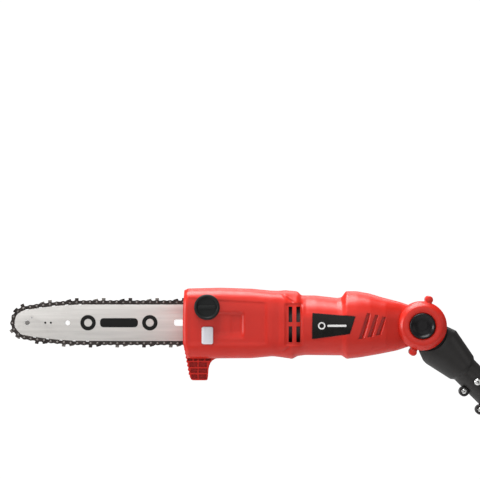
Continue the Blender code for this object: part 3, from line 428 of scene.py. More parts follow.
@dataclass(frozen=True)
class Finish:
    """One material: colour, shine and the pattern its making leaves."""

    name: str
    slot: str
    colour: tuple[float, float, float]
    roughness: float
    grain: Grain = Grain.MOULDED
    metallic: float = 0.0
    texture: float = 900.0
    relief: float = 0.04
    shift: float = 0.08
    coat: float = 0.0
    clear: float = 0.0
    gloss: float = 0.5
    coat_roughness: float = 0.12
    slow_waves: float = 14.0
    middle_share: float = 0.12

    def material(self) -> bpy.types.Material:
        """The finish's material, made once and shared after that."""
        known = bpy.data.materials.get(self.name)
        return known if known else self._made()

    def _made(self) -> bpy.types.Material:
        """Node tree: slow noise moves colour, finer noise roughness, the finest the relief."""
        material = bpy.data.materials.new(self.name)
        material.use_nodes = True
        tree = material.node_tree
        shader = tree.nodes["Principled BSDF"]
        shader.inputs["Metallic"].default_value = self.metallic
        shader.inputs["Coat Weight"].default_value = self.coat
        shader.inputs["Coat Roughness"].default_value = self.coat_roughness
        shader.inputs["Specular IOR Level"].default_value = self.gloss
        if self.clear:
            shader.inputs["Subsurface Weight"].default_value = self.clear
            shader.inputs["Subsurface Radius"].default_value = (0.004, 0.004, 0.004)
            shader.inputs["Subsurface Scale"].default_value = 1.0
        where = tree.nodes.new("ShaderNodeTexCoord").outputs["Object"]
        stretched = self._stretched(tree, where)
        slow = self._noise(tree, where, self.slow_waves, 4.0)
        fine = self._noise(tree, stretched, self.texture, 3.0)
        middle = self._noise(tree, stretched, self.texture * self.middle_share, 5.0)
        self._tint(tree, shader, slow, middle)
        self._shine(tree, shader, middle, fine)
        bump = tree.nodes.new("ShaderNodeBump")
        bump.inputs["Strength"].default_value = 1.0
        bump.inputs["Distance"].default_value = self.relief * MM
        tree.links.new(fine, bump.inputs["Height"])
        tree.links.new(bump.outputs["Normal"], shader.inputs["Normal"])
        material.diffuse_color = (*self.colour, 1.0)
        return material

    def _stretched(self, tree: bpy.types.NodeTree,
                   where: bpy.types.NodeSocket) -> bpy.types.NodeSocket:
        """Brushed and turned metal stretch the pattern along the strokes; others leave it."""
        if self.grain not in (Grain.BRUSHED, Grain.TURNED):
            return where
        mapping = tree.nodes.new("ShaderNodeMapping")
        scale = (0.04, 1.0, 1.0) if self.grain is Grain.BRUSHED else (1.0, 0.2, 1.0)
        mapping.inputs["Scale"].default_value = scale
        tree.links.new(where, mapping.inputs["Vector"])
        return mapping.outputs["Vector"]

    def _noise(self, tree: bpy.types.NodeTree, where: bpy.types.NodeSocket, scale: float,
               detail: float) -> bpy.types.NodeSocket:
        """A fractal noise between 0 and 1 at scale waves a metre."""
        noise = tree.nodes.new("ShaderNodeTexNoise")
        noise.inputs["Scale"].default_value = scale
        noise.inputs["Detail"].default_value = detail
        noise.inputs["Roughness"].default_value = 0.6
        tree.links.new(where, noise.inputs["Vector"])
        return noise.outputs["Fac"]

    def _tint(self, tree: bpy.types.NodeTree, shader: bpy.types.ShaderNode,
              slow: bpy.types.NodeSocket, middle: bpy.types.NodeSocket) -> None:
        """Colour runs from a darker to a lighter tone; oxide shows bare metal in thin spots."""
        ramp = tree.nodes.new("ShaderNodeValToRGB")
        dark = tuple(channel * (1 - self.shift) for channel in self.colour)
        light = tuple(min(1.0, channel * (1 + self.shift) + 0.002) for channel in self.colour)
        ramp.color_ramp.elements[0].position = 0.35
        ramp.color_ramp.elements[0].color = (*dark, 1.0)
        ramp.color_ramp.elements[1].position = 0.65
        ramp.color_ramp.elements[1].color = (*light, 1.0)
        if self.grain is Grain.OXIDE:
            worn = ramp.color_ramp.elements.new(0.74)
            worn.color = (*(min(1.0, channel * 2.4 + 0.05) for channel in self.colour), 1.0)
        source = middle if self.grain in (Grain.OXIDE, Grain.CAST, Grain.BRUSHED,
                                          Grain.FOAM) else slow
        tree.links.new(source, ramp.inputs["Fac"])
        tree.links.new(ramp.outputs["Color"], shader.inputs["Base Color"])

    def _shine(self, tree: bpy.types.NodeTree, shader: bpy.types.ShaderNode,
               middle: bpy.types.NodeSocket, fine: bpy.types.NodeSocket) -> None:
        """Roughness = mean + spread * (half the two noises - one half)."""
        blend = tree.nodes.new("ShaderNodeMath")
        blend.operation = "ADD"
        tree.links.new(middle, blend.inputs[0])
        tree.links.new(fine, blend.inputs[1])
        spread = tree.nodes.new("ShaderNodeMapRange")
        spread.inputs["From Min"].default_value = 0.7
        spread.inputs["From Max"].default_value = 1.3
        spread.inputs["To Min"].default_value = max(0.03, self.roughness - 0.07)
        spread.inputs["To Max"].default_value = min(1.0, self.roughness + 0.08)
        tree.links.new(blend.outputs[0], spread.inputs["Value"])
        tree.links.new(spread.outputs["Result"], shader.inputs["Roughness"])


RED_SHELL = Finish("red_shell_plastic", "red_shell", (0.62, 0.013, 0.003), 0.36, relief=0.02,
                   shift=0.05, gloss=0.5)
RED_HOOK = Finish("red_hook_plastic", "red_shell", (0.62, 0.013, 0.005), 0.4, relief=0.03,
                  shift=0.06, gloss=0.35)
BLACK_CAP = Finish("black_cap_plastic", "black_plastic", (0.009, 0.010, 0.010), 0.42, relief=0.03,
                   shift=0.2, gloss=0.2)
BLACK_BUTTON = Finish("black_button_plastic", "black_plastic", (0.010, 0.009, 0.010), 0.3,
                      relief=0.015, shift=0.2, gloss=0.2)
BLACK_LABEL = Finish("label_film", "black_plastic", (0.006, 0.005, 0.004), 0.25, relief=0.008,
                     shift=0.1, gloss=0.25)
LABEL_WHITE = Finish("label_print_white", "black_plastic", (0.83, 0.83, 0.82), 0.4, relief=0.005,
                     shift=0.03)
BLACK_COVER = Finish("black_cover_plastic", "black_plastic", (0.022, 0.022, 0.023), 0.48,
                     relief=0.05, shift=0.2, gloss=0.2)
GREY_KNUCKLE = Finish("dark_knuckle_plastic", "grey_plastic", (0.011, 0.0095, 0.009), 0.4,
                      relief=0.04, shift=0.15, gloss=0.42)
SWITCH_BLACK = Finish("switch_plastic_matt", "switch_plastic", (0.045, 0.045, 0.045), 0.6,
                      relief=0.03)
MILKY_WINDOW = Finish("milky_window", "window", (0.80, 0.79, 0.84), 0.3, Grain.MILKY, relief=0.01,
                      shift=0.03, clear=0.3)
TANK_NATURAL = Finish("tank_natural_plastic", "tank_plastic", (0.72, 0.71, 0.66), 0.45, Grain.MILKY,
                      relief=0.05, shift=0.05, clear=0.2)
BAR_STEEL = Finish("bar_ground_steel", "bar_steel", (0.63, 0.61, 0.585), 0.45, Grain.BRUSHED,
                   metallic=0.15, texture=2400, relief=0.012, shift=0.07)
BAR_PRINT = Finish("bar_black_print", "bar_steel", (0.007, 0.007, 0.007), 0.5, relief=0.005,
                   shift=0.2, gloss=0.2)
# Dark oxide on the straps and drive links; on the near-side cutters the same dark finish is painted
# shade over their chrome.
CHAIN_OXIDE_AND_SHADE = Finish("chain_oxide_and_shade_steel", "chain_steel", (0.042, 0.034, 0.031), 0.4, Grain.OXIDE,
                     metallic=0.6, texture=1400, relief=0.04, shift=0.3)
CHAIN_BRIGHT = Finish("chain_cutter_chrome", "chain_steel", (0.24, 0.22, 0.205), 0.34, Grain.OXIDE,
                      metallic=0.9, texture=1400, relief=0.03, shift=0.2)
RIVET_STEEL = Finish("rivet_steel", "bright_steel", (0.20, 0.185, 0.175), 0.4, Grain.TURNED,
                     metallic=0.6, texture=1500, relief=0.02)
RIVET_GREY = Finish("pressed_rivet_steel", "bright_steel", (0.26, 0.25, 0.24), 0.4, Grain.TURNED,
                    metallic=0.6, texture=1500, relief=0.02)
ZINC_STEEL = Finish("zinc_plated_steel", "bright_steel", (0.72, 0.72, 0.71), 0.26, Grain.TURNED,
                    metallic=1.0, texture=1500, relief=0.02, shift=0.1)
SPRING_STEEL = Finish("hardened_steel", "spring_steel", (0.40, 0.40, 0.42), 0.3, Grain.BRUSHED,
                      metallic=1.0, texture=1800, relief=0.02, shift=0.12)
CAST_METAL = Finish("cast_aluminium_matt", "cast_aluminium", (0.52, 0.52, 0.53), 0.5, Grain.CAST,
                    metallic=0.9, texture=700, relief=0.12, shift=0.1)
TUBE_METAL = Finish("anodised_tube", "tube_aluminium", (0.66, 0.66, 0.68), 0.3, Grain.BRUSHED,
                    metallic=1.0, texture=1600, relief=0.012, shift=0.05)
TUBE_BLACK = Finish("black_powder_coat", "painted_tube", (0.022, 0.022, 0.024), 0.38, relief=0.05,
                    texture=1300, shift=0.15)
COPPER_WIRE = Finish("wound_copper", "copper", (0.70, 0.32, 0.17), 0.34, Grain.TURNED, metallic=0.9,
                     texture=1100, relief=0.08, shift=0.2)
SOFT_RUBBER = Finish("soft_grip_rubber", "rubber", (0.022, 0.022, 0.023), 0.78, Grain.FOAM,
                     texture=1100, relief=0.12, shift=0.2)


@dataclass
class Workshop:
    """Makes finished pieces and keeps count of them."""

    made: list[str] = field(default_factory=list)

    def piece(self, name: str, shape: Shape, place: Place, finish: Finish, body: str,
              replaces: tuple[str, ...] = (), sharp: float = 34.0) -> bpy.types.Object:
        """Make a piece, dress it and put it on its body.

        Args:
            name: the piece's name.
            shape: its surface in the working frame.
            place: the working frame.
            finish: its finish.
            body: the moving body it rides on.
            replaces: the plain nodes it stands for.
            sharp: edges turning more than this many degrees stay crisp.

        Returns:
            The finished object.
        """
        thing = raw_object(name, shape, place)
        thing.data.shade_smooth()
        thing.data.set_sharp_from_angle(angle=math.radians(sharp))
        thing.data.materials.append(finish.material())
        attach(thing, body)
        if replaces:
            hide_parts(*replaces)
        self.made.append(name)
        log.info("%s: %d points on %s", name, len(shape.points), body)
        return thing

    def dress(self, node: str, finish: Finish) -> None:
        """Give a carried-over node its finish through its material slots."""
        thing = frame["nodes"][node]
        thing.data.materials.clear()
        thing.data.materials.append(finish.material())
        log.info("%s: dressed", node)


def stepped(value: Array, edge: float, width: float) -> Array:
    """Smooth step from 0 to 1 centred on edge: 3s^2 - 2s^3 over the width."""
    share = np.clip((value - edge) / width + 0.5, 0.0, 1.0)
    return share * share * (3 - 2 * share)


def eased(x: Array, table: list[Point], width: float = 3.0) -> Array:
    """Read a broken line at x, averaged over a short width so its corners are round.

    Args:
        x: places to read.
        table: (x, value) points.
        width: length of the average.

    Returns:
        Value at each x.
    """
    line = np.array(table, dtype=float)
    shifts = np.linspace(-width / 2, width / 2, 9)
    return np.mean([np.interp(x + shift, line[:, 0], line[:, 1]) for shift in shifts], axis=0)


# --------------------------------------------------------------------------
# Motor head
# --------------------------------------------------------------------------
@dataclass
class HeadShell:
    """The two red shell halves: front block, motor barrel and round drum."""

    top: list[Point] = field(default_factory=lambda: [
        (-337, 50.5), (-333, 52.9), (-285.5, 54), (-242, 52.6), (-213, 49.8), (-204, 49.6),
        (-194, 50.5), (-177, 49), (-171, 43.2), (-151, 43), (-120.4, 39.5), (-114, 40.5),
        (-108, 49.2), (-92.4, 49.1), (-74.7, 45.9), (-55.6, 40.2), (-30, 33.6), (-16, 28.6)])
    bottom: list[Point] = field(default_factory=lambda: [
        (-337, -45.2), (-334, -46.5), (-242, -45.9), (-213, -43.1), (-204, -44), (-184, -47.1),
        (-177, -43), (-166, -41.6), (-114, -42.2), (-107, -47.1), (-87, -44.8), (-62, -40.4),
        (-36.5, -35.3), (-30, -33.2), (-16, -28.6)])
    side: list[Point] = field(default_factory=lambda: [
        (-337, 37), (-333, 40), (-213, 39.5), (-204, 38.5), (-194, 39.5), (-177, 39), (-171, 36.5),
        (-114, 36), (-108, 37.5), (-74.7, 35), (-52, 31.5), (-36, 25.5), (-30, 23.0), (-16, 21.0)])
    squareness: list[Point] = field(default_factory=lambda: [
        (-337, 5.5), (-204, 5.0), (-190, 4.0), (-165, 3.2), (-110, 3.2), (-60, 3.6), (-30, 4.0)])
    block_far: float = 9.0
    block_end: float = -198.0
    far_step: float = 6.0
    wall: float = 2.5
    cavity: Point = (-334.5, -62.0)
    ends: Point = (-337.5, -17.0)
    parting: float = 0.15
    soft_top: float = 1.1
    drum_r: float = 34.7
    drum_slot: float = 12.0
    lug_r: float = 5.3
    lugs: tuple[Point, ...] = ((9.8, 37.1), (-13.1, -37.1))
    button_r: float = 18.5
    neck_r: float = 14.3
    window_half: Point = (8.3, 12.55)
    screw_r: float = 2.3
    screw_sink_r: float = 4.3
    slots_x: tuple[Point, ...] = ((-189.8, -184.7), (-178.9, -173.5))
    slots_z: tuple[Point, ...] = ((5.7, 27.7), (-22.6, -0.1))
    ramp: tuple[Point, ...] = ((-25.0, 9.9), (-0.8, 9.7), (0.4, 8.7), (1.6, 7.2), (2.8, 5.6),
                               (7.0, 4.9))
    ramp_floor: float = -26.6
    label_bed: float = -35.3
    cap_at: Point = (-305.2, 27.0)
    window_at: Point = (-304.6, -13.1)
    label: tuple[Point, ...] = ((-156.6, 19.3), (-95.0, 14.2), (-102.7, -11.2), (-157.1, -18.8))
    spindle_x: float = -244.9
    stud_x: float = -318.0
    axis_z: float = 4.0
    tension_at: Point = (-296.5, 17.0)
    louvres: tuple[tuple[Point, Point], ...] = (((-79.1, 18.6), (-91.1, -18.2)),
                                                ((-67.7, 16.1), (-78.5, -15.6)),
                                                ((-56.9, 13.5), (-66.8, -13.1)))

    def relief(self, x: Array, z: Array) -> Array:
        """Depth pressed into the near face, as a sum of products of smooth steps.

        Args:
            x: along the head.
            z: height.

        Returns:
            Depth at each point, 0 where the face is plain.
        """
        wide = 0.9 * (1 - stepped(x, -221.5, 7.0)) * (1 - stepped(z, 35.5 - (x + 265) * 0.06, 3.0))
        wide = wide * stepped(z, -25.0, 8.0) * stepped(x, -331.0, 8.0)
        deep = (1.9 + stepped(x, -271.0, 8.0)) * (1 - stepped(x, -254.5,
                                                              6.5)) * (1 - stepped(z, 18.5, 6.0))
        deep = deep * stepped(z, -13.0, 13.0)
        deep = deep * stepped(x, -292.0, 14.0)
        vents = 1.6 * stepped(x, -194.5, 3.0) * (1 - stepped(x, -170.8, 2.5))
        vents = vents * (1 - stepped(z, 31.5, 3.0)) * stepped(z, -27.0, 3.0)
        cheek = 1.5 * np.exp(-((z - (38.5 - (x + 190) * 0.72)) / 1.5) ** 2) * stepped(x, -197.5, 3)
        cheek = cheek * (1 - stepped(x, -183.5, 3))
        jowl = 1.2 * np.exp(-((z - (-32.5 + (x + 193) * 0.67)) / 1.5) ** 2) * stepped(x, -198, 3)
        jowl = jowl * (1 - stepped(x, -188, 3))
        return wide + deep + vents + cheek + jowl

    def sections(self, inward: float, reach: float, detail: bool) -> Array:
        """Half sections along X: y = -w r cos a, z = mid + h r sin a.

        The reach r is (|cos a|^n + |sin a|^n)^(-1/n), so n sets how square a section is.

        Args:
            inward: distance inside the outer surface.
            reach: how far past the parting plane the section closes.
            detail: whether the near-face relief is pressed in.

        Returns:
            Rings, array (stations, points, 3).
        """
        first, last = self.ends if not inward else self.cavity
        step = 1.25 if not inward else 4.0
        x = np.arange(first, last, step)
        angle = np.linspace(np.pi / 2, -np.pi / 2, 150 if not inward else 50)
        top = eased(x, self.top) - inward
        bottom = eased(x, self.bottom) + inward
        width = eased(x, self.side) - inward
        square = np.interp(x, *np.array(self.squareness).T)[:, None]
        cosine = np.cos(angle)[None, :]
        sine = np.sin(angle)[None, :]
        square = square - self.soft_top * stepped(sine, 0.2, 0.6)
        reach_out = (np.abs(cosine) ** square + np.abs(sine) ** square) ** (-1 / square)
        z = ((top + bottom) / 2)[:, None] + ((top - bottom) / 2)[:, None] * sine * reach_out
        y = -width[:, None] * cosine * reach_out
        x_grid = np.broadcast_to(x[:, None], y.shape)
        if not inward:
            bow = 2.0 * (1 - (z / 50.0) ** 2) - 0.17 * np.clip(-24.0 - z, 0, None)
            x_grid = x_grid - bow * (1 - stepped(x_grid, -331.0, 12.0))
        if detail:
            y = y + self.relief(x_grid, z) * stepped(-y, 18.0, 14.0)
        if inward:
            y = np.maximum(y, -np.interp(x_grid, [-276, -274, -200, -186, -172, -166],
                                         [36.7, 33.8, 33.8, 34.0, 34.0, 60.0]))
        y = np.minimum(y, -reach)
        rim_top = np.stack([x_grid[:, 0], np.full(len(x), -reach), z[:, 0]], axis=-1)
        rim_bottom = np.stack([x_grid[:, -1], np.full(len(x), -reach), z[:, -1]], axis=-1)
        ring = np.stack([x_grid, y, z], axis=-1)
        return np.concatenate([rim_top[:, None], ring[:, 1:-1], rim_bottom[:, None]], axis=1)

    def far_sections(self, inward: float, reach: float) -> Array:
        """The near sections mirrored, and held back to the flat bar face along the front block."""
        rings = self.sections(inward, reach, detail=False) * np.array([1.0, -1.0, 1.0])
        limit = np.interp(rings[..., 0], [self.block_end, self.block_end + self.far_step],
                          [self.block_far, 45.0]) - inward
        rings[..., 1] = np.minimum(rings[..., 1], limit)
        return rings

    def drum(self) -> Shape:
        """Near half of the round drum: a turned ring with a wide bevel and a flat face."""
        profile = [(0, -self.parting), (self.drum_r, -self.parting), (self.drum_r, -24.0),
                   (34.3, -25.0), (28.6, -30.5), (27.4, -31.0), (20.4, -31.0), (19.2, -30.5),
                   (18.5, -29.6), (0, -29.6)]
        ring = turned(profile, steps=128)
        lugs = []
        for x, z in self.lugs:
            lugs.append(turned([(0, -self.parting), (self.lug_r, -self.parting),
                                (self.lug_r, -23.4), (self.lug_r * 0.9, -24.8),
                                (self.lug_r * 0.7, -25.5), (0, -25.7)],
                               centre=(x, 0, z), steps=40))
            lugs.append(turned([(0, -self.parting), (4.7, -self.parting), (4.7, -22.8),
                                (4.0, -23.8), (0, -24)],
                               centre=(x * 0.9, 0, z * 0.9), steps=32))
        return carved_shape(ring, (gathered(*lugs), "UNION"))

    def tongue_room(self) -> Shape:
        """Slot in the drum for the pole's tongue over its whole swing."""
        angle = np.radians(np.linspace(-99, 45, 9))
        fan = np.concatenate([[[0.0, 0.0]],
                              np.stack([80 * np.cos(angle), 80 * np.sin(angle)], axis=1)])
        disc = rod(31, -self.drum_slot, self.drum_slot, steps=72)
        return carved_shape(disc, (slab(fan, -self.drum_slot, self.drum_slot), "UNION"))

    def slots(self) -> Shape:
        """Straight vent slots and slanted louvres, whose pole-side walls slope to the floor."""
        cutters = []
        for x0, x1 in self.slots_x:
            for z0, z1 in self.slots_z:
                middle = ((x0 + x1) / 2, (z0 + z1) / 2)
                outline = rounded_box_outline(*middle, (x1 - x0) / 2, (z1 - z0) / 2, 1.0)
                cutters.append(slab(outline, -FAR, -20))
        for (top_x, top_z), (low_x, low_z) in self.louvres:
            levels = []
            face = -float(eased(np.array([(top_x + low_x) / 2]), self.side)[0])
            for rise, slope in self.ramp:
                y = min(face + rise, self.ramp_floor)
                levels.append([(low_x, y, low_z), (low_x + slope, y, low_z + 0.6),
                               (top_x + slope * 0.85, y, top_z - 0.6), (top_x, y, top_z)])
            cutters.append(skin(np.array(levels, dtype=float)))
        return gathered(*cutters)

    def louvre_pad(self) -> Shape:
        """Thicker wall behind the louvres, so their floors are closed."""
        room = block((-98.0, -46.0), (-60.0, -25.5), (-24.0, 24.0), edge=1.0)
        return carved_shape(skin(self.sections(1.2, -3.0, detail=False)), (room, "INTERSECT"))

    def openings(self) -> Shape:
        """Holes in the near half for the cap's neck and the window."""
        cap_x, cap_z = self.cap_at
        neck = rod(self.neck_r, -FAR, -25, centre=(cap_x, 0, cap_z), steps=64)
        window = slab(rounded_box_outline(*self.window_at, *self.window_half, 3.3), -FAR, -25)
        return gathered(neck, window)

    def bores(self) -> Shape:
        """The button's counterbore and the pivot pin's bore."""
        return turned([(0, -FAR), (self.button_r, -FAR), (self.button_r, -16), (PIN_R, -16),
                       (PIN_R, FAR), (0, FAR)], steps=96)

    def seat(self) -> Shape:
        """Shallow bed for the label, square to the barrel's near face."""
        grown = inset(np.array(self.label)[::-1], -0.5)
        return slab(grown, -FAR, self.label_bed, corner=0.6)

    def build(self, shop: Workshop) -> None:
        """Make both halves and hand them to the shop."""
        near = carved_shape(
            skin(self.sections(0.0, self.parting, detail=True)), (self.drum(), "UNION"),
            (skin(self.sections(self.wall, -3.0, detail=False)), "DIFFERENCE"),
            (self.louvre_pad(), "UNION"), (self.tongue_room(), "DIFFERENCE"),
            (self.bores(), "DIFFERENCE"), (gathered(self.slots(), self.openings()), "DIFFERENCE"),
            (self.seat(), "DIFFERENCE"), (self.hook_room(), "DIFFERENCE"))
        shop.piece("shell_near", near, HEAD, RED_SHELL, "head", ("head_shell_near",))
        far_holes = [rod(8, -5, 20, centre=(self.spindle_x, 0, self.axis_z)),
                     rod(4.3, -5, 20, centre=(self.stud_x, 0, self.axis_z)),
                     rod(3.1, -5, 20, centre=(self.tension_at[0], 0, self.tension_at[1]))]
        thin, wide = self.screw_r, self.screw_sink_r
        screws = [turned([(0, -5), (thin, -5), (thin, 28), (wide, 28), (wide, 40), (0, 40)],
                         centre=(x, 0, z), steps=32) for x, z in self.lugs]
        far = carved_shape(
            skin(self.far_sections(0.0, self.parting)), (self.drum().flipped(), "UNION"),
            (skin(self.far_sections(self.wall, -3.0)), "DIFFERENCE"),
            (self.louvre_pad().flipped(), "UNION"), (self.tongue_room(), "DIFFERENCE"),
            (turned([(0, -5), (PIN_R, -5), (PIN_R, 24), (11, 24), (11, FAR), (0, FAR)]),
             "DIFFERENCE"),
            (self.slots().flipped(), "DIFFERENCE"), (gathered(*far_holes, *screws), "DIFFERENCE"),
            (self.hook_room(), "DIFFERENCE"))
        shop.piece("shell_far", far, HEAD, RED_SHELL, "head", ("head_shell_far",))

    def hook_room(self) -> Shape:
        """Notch under the front of the block that the branch hook fills."""
        front = block((-350, -329), (-16, 12), (-90, -26.2))
        return carved_shape(front, (block((-340, -295), (-16, 12), (-90, -40)), "UNION"))


@dataclass
class BranchHook:
    """Red ribbed hook with a toothed front edge."""

    depth: Point = (-15.5, 8.0)
    pocket_floor: float = -9.0

    def outline(self) -> Array:
        """Front edge of small teeth, then the foot and the curved rear edge."""
        z = np.arange(-32.0, -70.0, -5.8)
        x = np.interp(z, [-72.2, -26.9], [-330.4, -338.6])
        teeth = np.stack([np.stack([x, z], 1), np.stack([x - 0.2, z - 1.9], 1),
                          np.stack([x + 1.5, z - 3.2], 1), np.stack([x + 1.5, z - 4.6], 1)], axis=1)
        rest = [(-329.8, -72.2), (-328.0, -75.8), (-325.4, -77.2), (-306.5, -77.2), (-304.6, -76.2),
                (-304.0, -73), (-303.2, -62), (-302.0, -56.5), (-300.0, -52.0), (-297.4, -49.0),
                (-294.0, -46.9), (-290.2, -45.8), (-290.2, -41), (-329.6, -41), (-331.8, -27.4),
                (-338.2, -27.4)]
        return np.concatenate([teeth.reshape(-1, 2), np.array(rest)])

    def pockets(self) -> Shape:
        """Square pockets between the ribs, two columns by four rows and small ones on top."""
        cells = []
        rows = ((-49.4, -45.2), (-58.3, -51.3), (-66.7, -60.3), (-75.4, -68.7))
        for row, (z0, z1) in enumerate(rows):
            left = -333.4 + (-41 - z1) * 0.16 + (1.4 if row else 0)
            right = (-300.2, -305.4, -305.6, -306.0)[row]
            columns = [(left, -318.9), (-317.1, right)]
            if row == 0:
                columns = [(left, -325.7), (-323.9, -318.9), (-317.1, -309.5), (-307.7, right)]
            for x0, x1 in columns:
                cells.append(slab([(x0, z0), (x1, z0), (x1, z1), (x0, z1)], -40, self.pocket_floor,
                                  corner=0.5))
        return gathered(*cells)

    def build(self, shop: Workshop) -> None:
        """Make the hook."""
        body = slab(self.outline(), *self.depth, edge=0.5, edge_steps=2)
        hook = carved_shape(body, (self.pockets(), "DIFFERENCE"))
        shop.piece("hook", hook, HEAD, RED_HOOK, "head", ("branch_hook",))


@dataclass
class OilParts:
    """Blown tank, filler cap with its grip bar and plug, and the level window."""

    cap_at: Point = (-305.2, 27.0)
    tank_x: Point = (-328.5, -276.0)
    tank_y: Point = (-34.2, 5.6)
    tank_z: Point = (-37.3, 42.5)
    tank_wall: float = 2.0
    plug_r: float = 9.6
    lip_r: float = 11.8
    cap_r: float = 18.2
    face: float = -50.0
    seat: float = -40.4
    window_at: Point = (-304.6, -13.1)

    def cap(self) -> Shape:
        """Turned cap with a ribbed rim, a shallow dished top and a raised grip bar."""
        x, z = self.cap_at
        y = self.face
        profile = [(0, y + 2.4), (13.2, y + 2.4), (14.4, y + 0.6), (15.2, y), (16.6, y),
                   (17.8, y + 0.9), (self.cap_r, y + 2.4), (self.cap_r, self.seat), (0, self.seat)]
        cap = turned(profile, centre=(x, 0, z), steps=128)
        angle = np.linspace(0, 2 * np.pi, 36, endpoint=False)
        ribs = [rod(0.55, y + 3.4, self.seat - 0.8,
                    centre=(x + (self.cap_r + 0.18) * math.cos(a), 0,
                            z + (self.cap_r + 0.18) * math.sin(a)), steps=8) for a in angle]
        bar = slab(rounded_box_outline(x, z, 12.6, 2.3, 2.2), y + 0.1, y + 4, edge=0.5)
        return carved_shape(cap, (bar, "UNION"), (gathered(*ribs), "DIFFERENCE"))

    def build(self, shop: Workshop) -> None:
        """Make the tank, the cap, its seal and the window."""
        x, z = self.cap_at
        sides = (self.tank_x, self.tank_y, self.tank_z)
        inner = [(low + self.tank_wall, high - self.tank_wall) for low, high in sides]
        tank = block(*sides, edge=6.0)
        neck = rod(14.0, -39.7, -30, centre=(x, 0, z), steps=64)
        mouth = rod(12.2, -45, -28, centre=(x, 0, z), steps=64)
        rear_holes = [rod(5.2, -10, 20, centre=(-318.0, 0, 4.0), steps=32),
                      rod(3.6, -10, 20, centre=(-296.5, 0, 17.0), steps=24)]
        tank = carved_shape(tank, (neck, "UNION"),
                            (block(*inner, edge=4.0), "DIFFERENCE"), (mouth, "DIFFERENCE"),
                            (gathered(*rear_holes), "DIFFERENCE"))
        shop.piece("blown_oil_tank", tank, HEAD, TANK_NATURAL, "head", ("oil_tank",))
        shop.piece("filler_cap", self.cap(), HEAD, BLACK_CAP, "oil_cap", ("oil_cap",), sharp=40)
        plug, lip = self.plug_r, self.lip_r
        seal = turned([(0, -39.9), (plug, -39.9), (plug, -38.5), (lip, -38.5), (lip, -36),
                       (plug, -36), (plug, -30), (0, -30)],
                      centre=(x, 0, z), steps=64, rounding=0.6)
        shop.piece("filler_seal", seal, HEAD, SOFT_RUBBER, "cap_seal", ("cap_seal",))
        outline = rounded_box_outline(*self.window_at, 8.0, 12.25, 3.0)
        pane = slab(outline, -40.9, -37.8, edge=0.8)
        shop.piece("level_window", pane, HEAD, MILKY_WINDOW, "head", ("oil_window",))


@dataclass
class LabelPlate:
    """Black label with a plain generic mark in place of any name."""

    corners: tuple[Point, ...] = ((-156.6, 19.3), (-95.0, 14.2), (-102.7, -11.2), (-157.1, -18.8))
    face: float = -36.3
    back: float = -35.6
    mark_rise: float = 0.25
    mark_sink: float = 0.2
    mark_z: float = 0.6

    def build(self, shop: Workshop) -> None:
        """Make the film and its plain printed mark: a ring and a bar."""
        line = inset(np.array(self.corners)[::-1], 0.45)
        film = slab(line, self.face, self.back, edge=0.2, corner=0.8)
        shop.piece("label_film_plate", film, HEAD, BLACK_LABEL, "head", ("label_plate",))
        low, high = self.face - self.mark_rise, self.face + self.mark_sink
        ring = turned([(3.4, low), (5.2, low), (5.2, high), (3.4, high)],
                      centre=(-143.0, 0, self.mark_z), steps=48)
        bar = slab(rounded_box_outline(-121.5, self.mark_z, 13.5, 1.5, 1.4), low, high)
        shop.piece("label_mark", gathered(ring, bar), HEAD, LABEL_WHITE, "head")


@dataclass
class TiltButton:
    """Black dished release button in the middle of the drum."""

    radius: float = 18.2

    def build(self, shop: Workshop) -> None:
        """Turn the button: a raised rim, a hollow dish and a small centre step."""
        profile = [(0, -28.3), (6.6, -28.4), (7.8, -28.0), (8.4, -28.2), (11.0, -28.9),
                   (13.6, -30.2), (15.6, -31.9), (16.4, -32.4), (17.2, -32.3), (self.radius, -31.2),
                   (self.radius, -20.5), (11.5, -20.5), (11.5, -27), (7, -27), (7, -20.5),
                   (0, -20.5)]
        button = turned(profile, steps=128, rounding=0.7)
        shop.piece("release_button", button, HEAD, BLACK_BUTTON, "tilt_button", ("tilt_button",),
                   sharp=50)


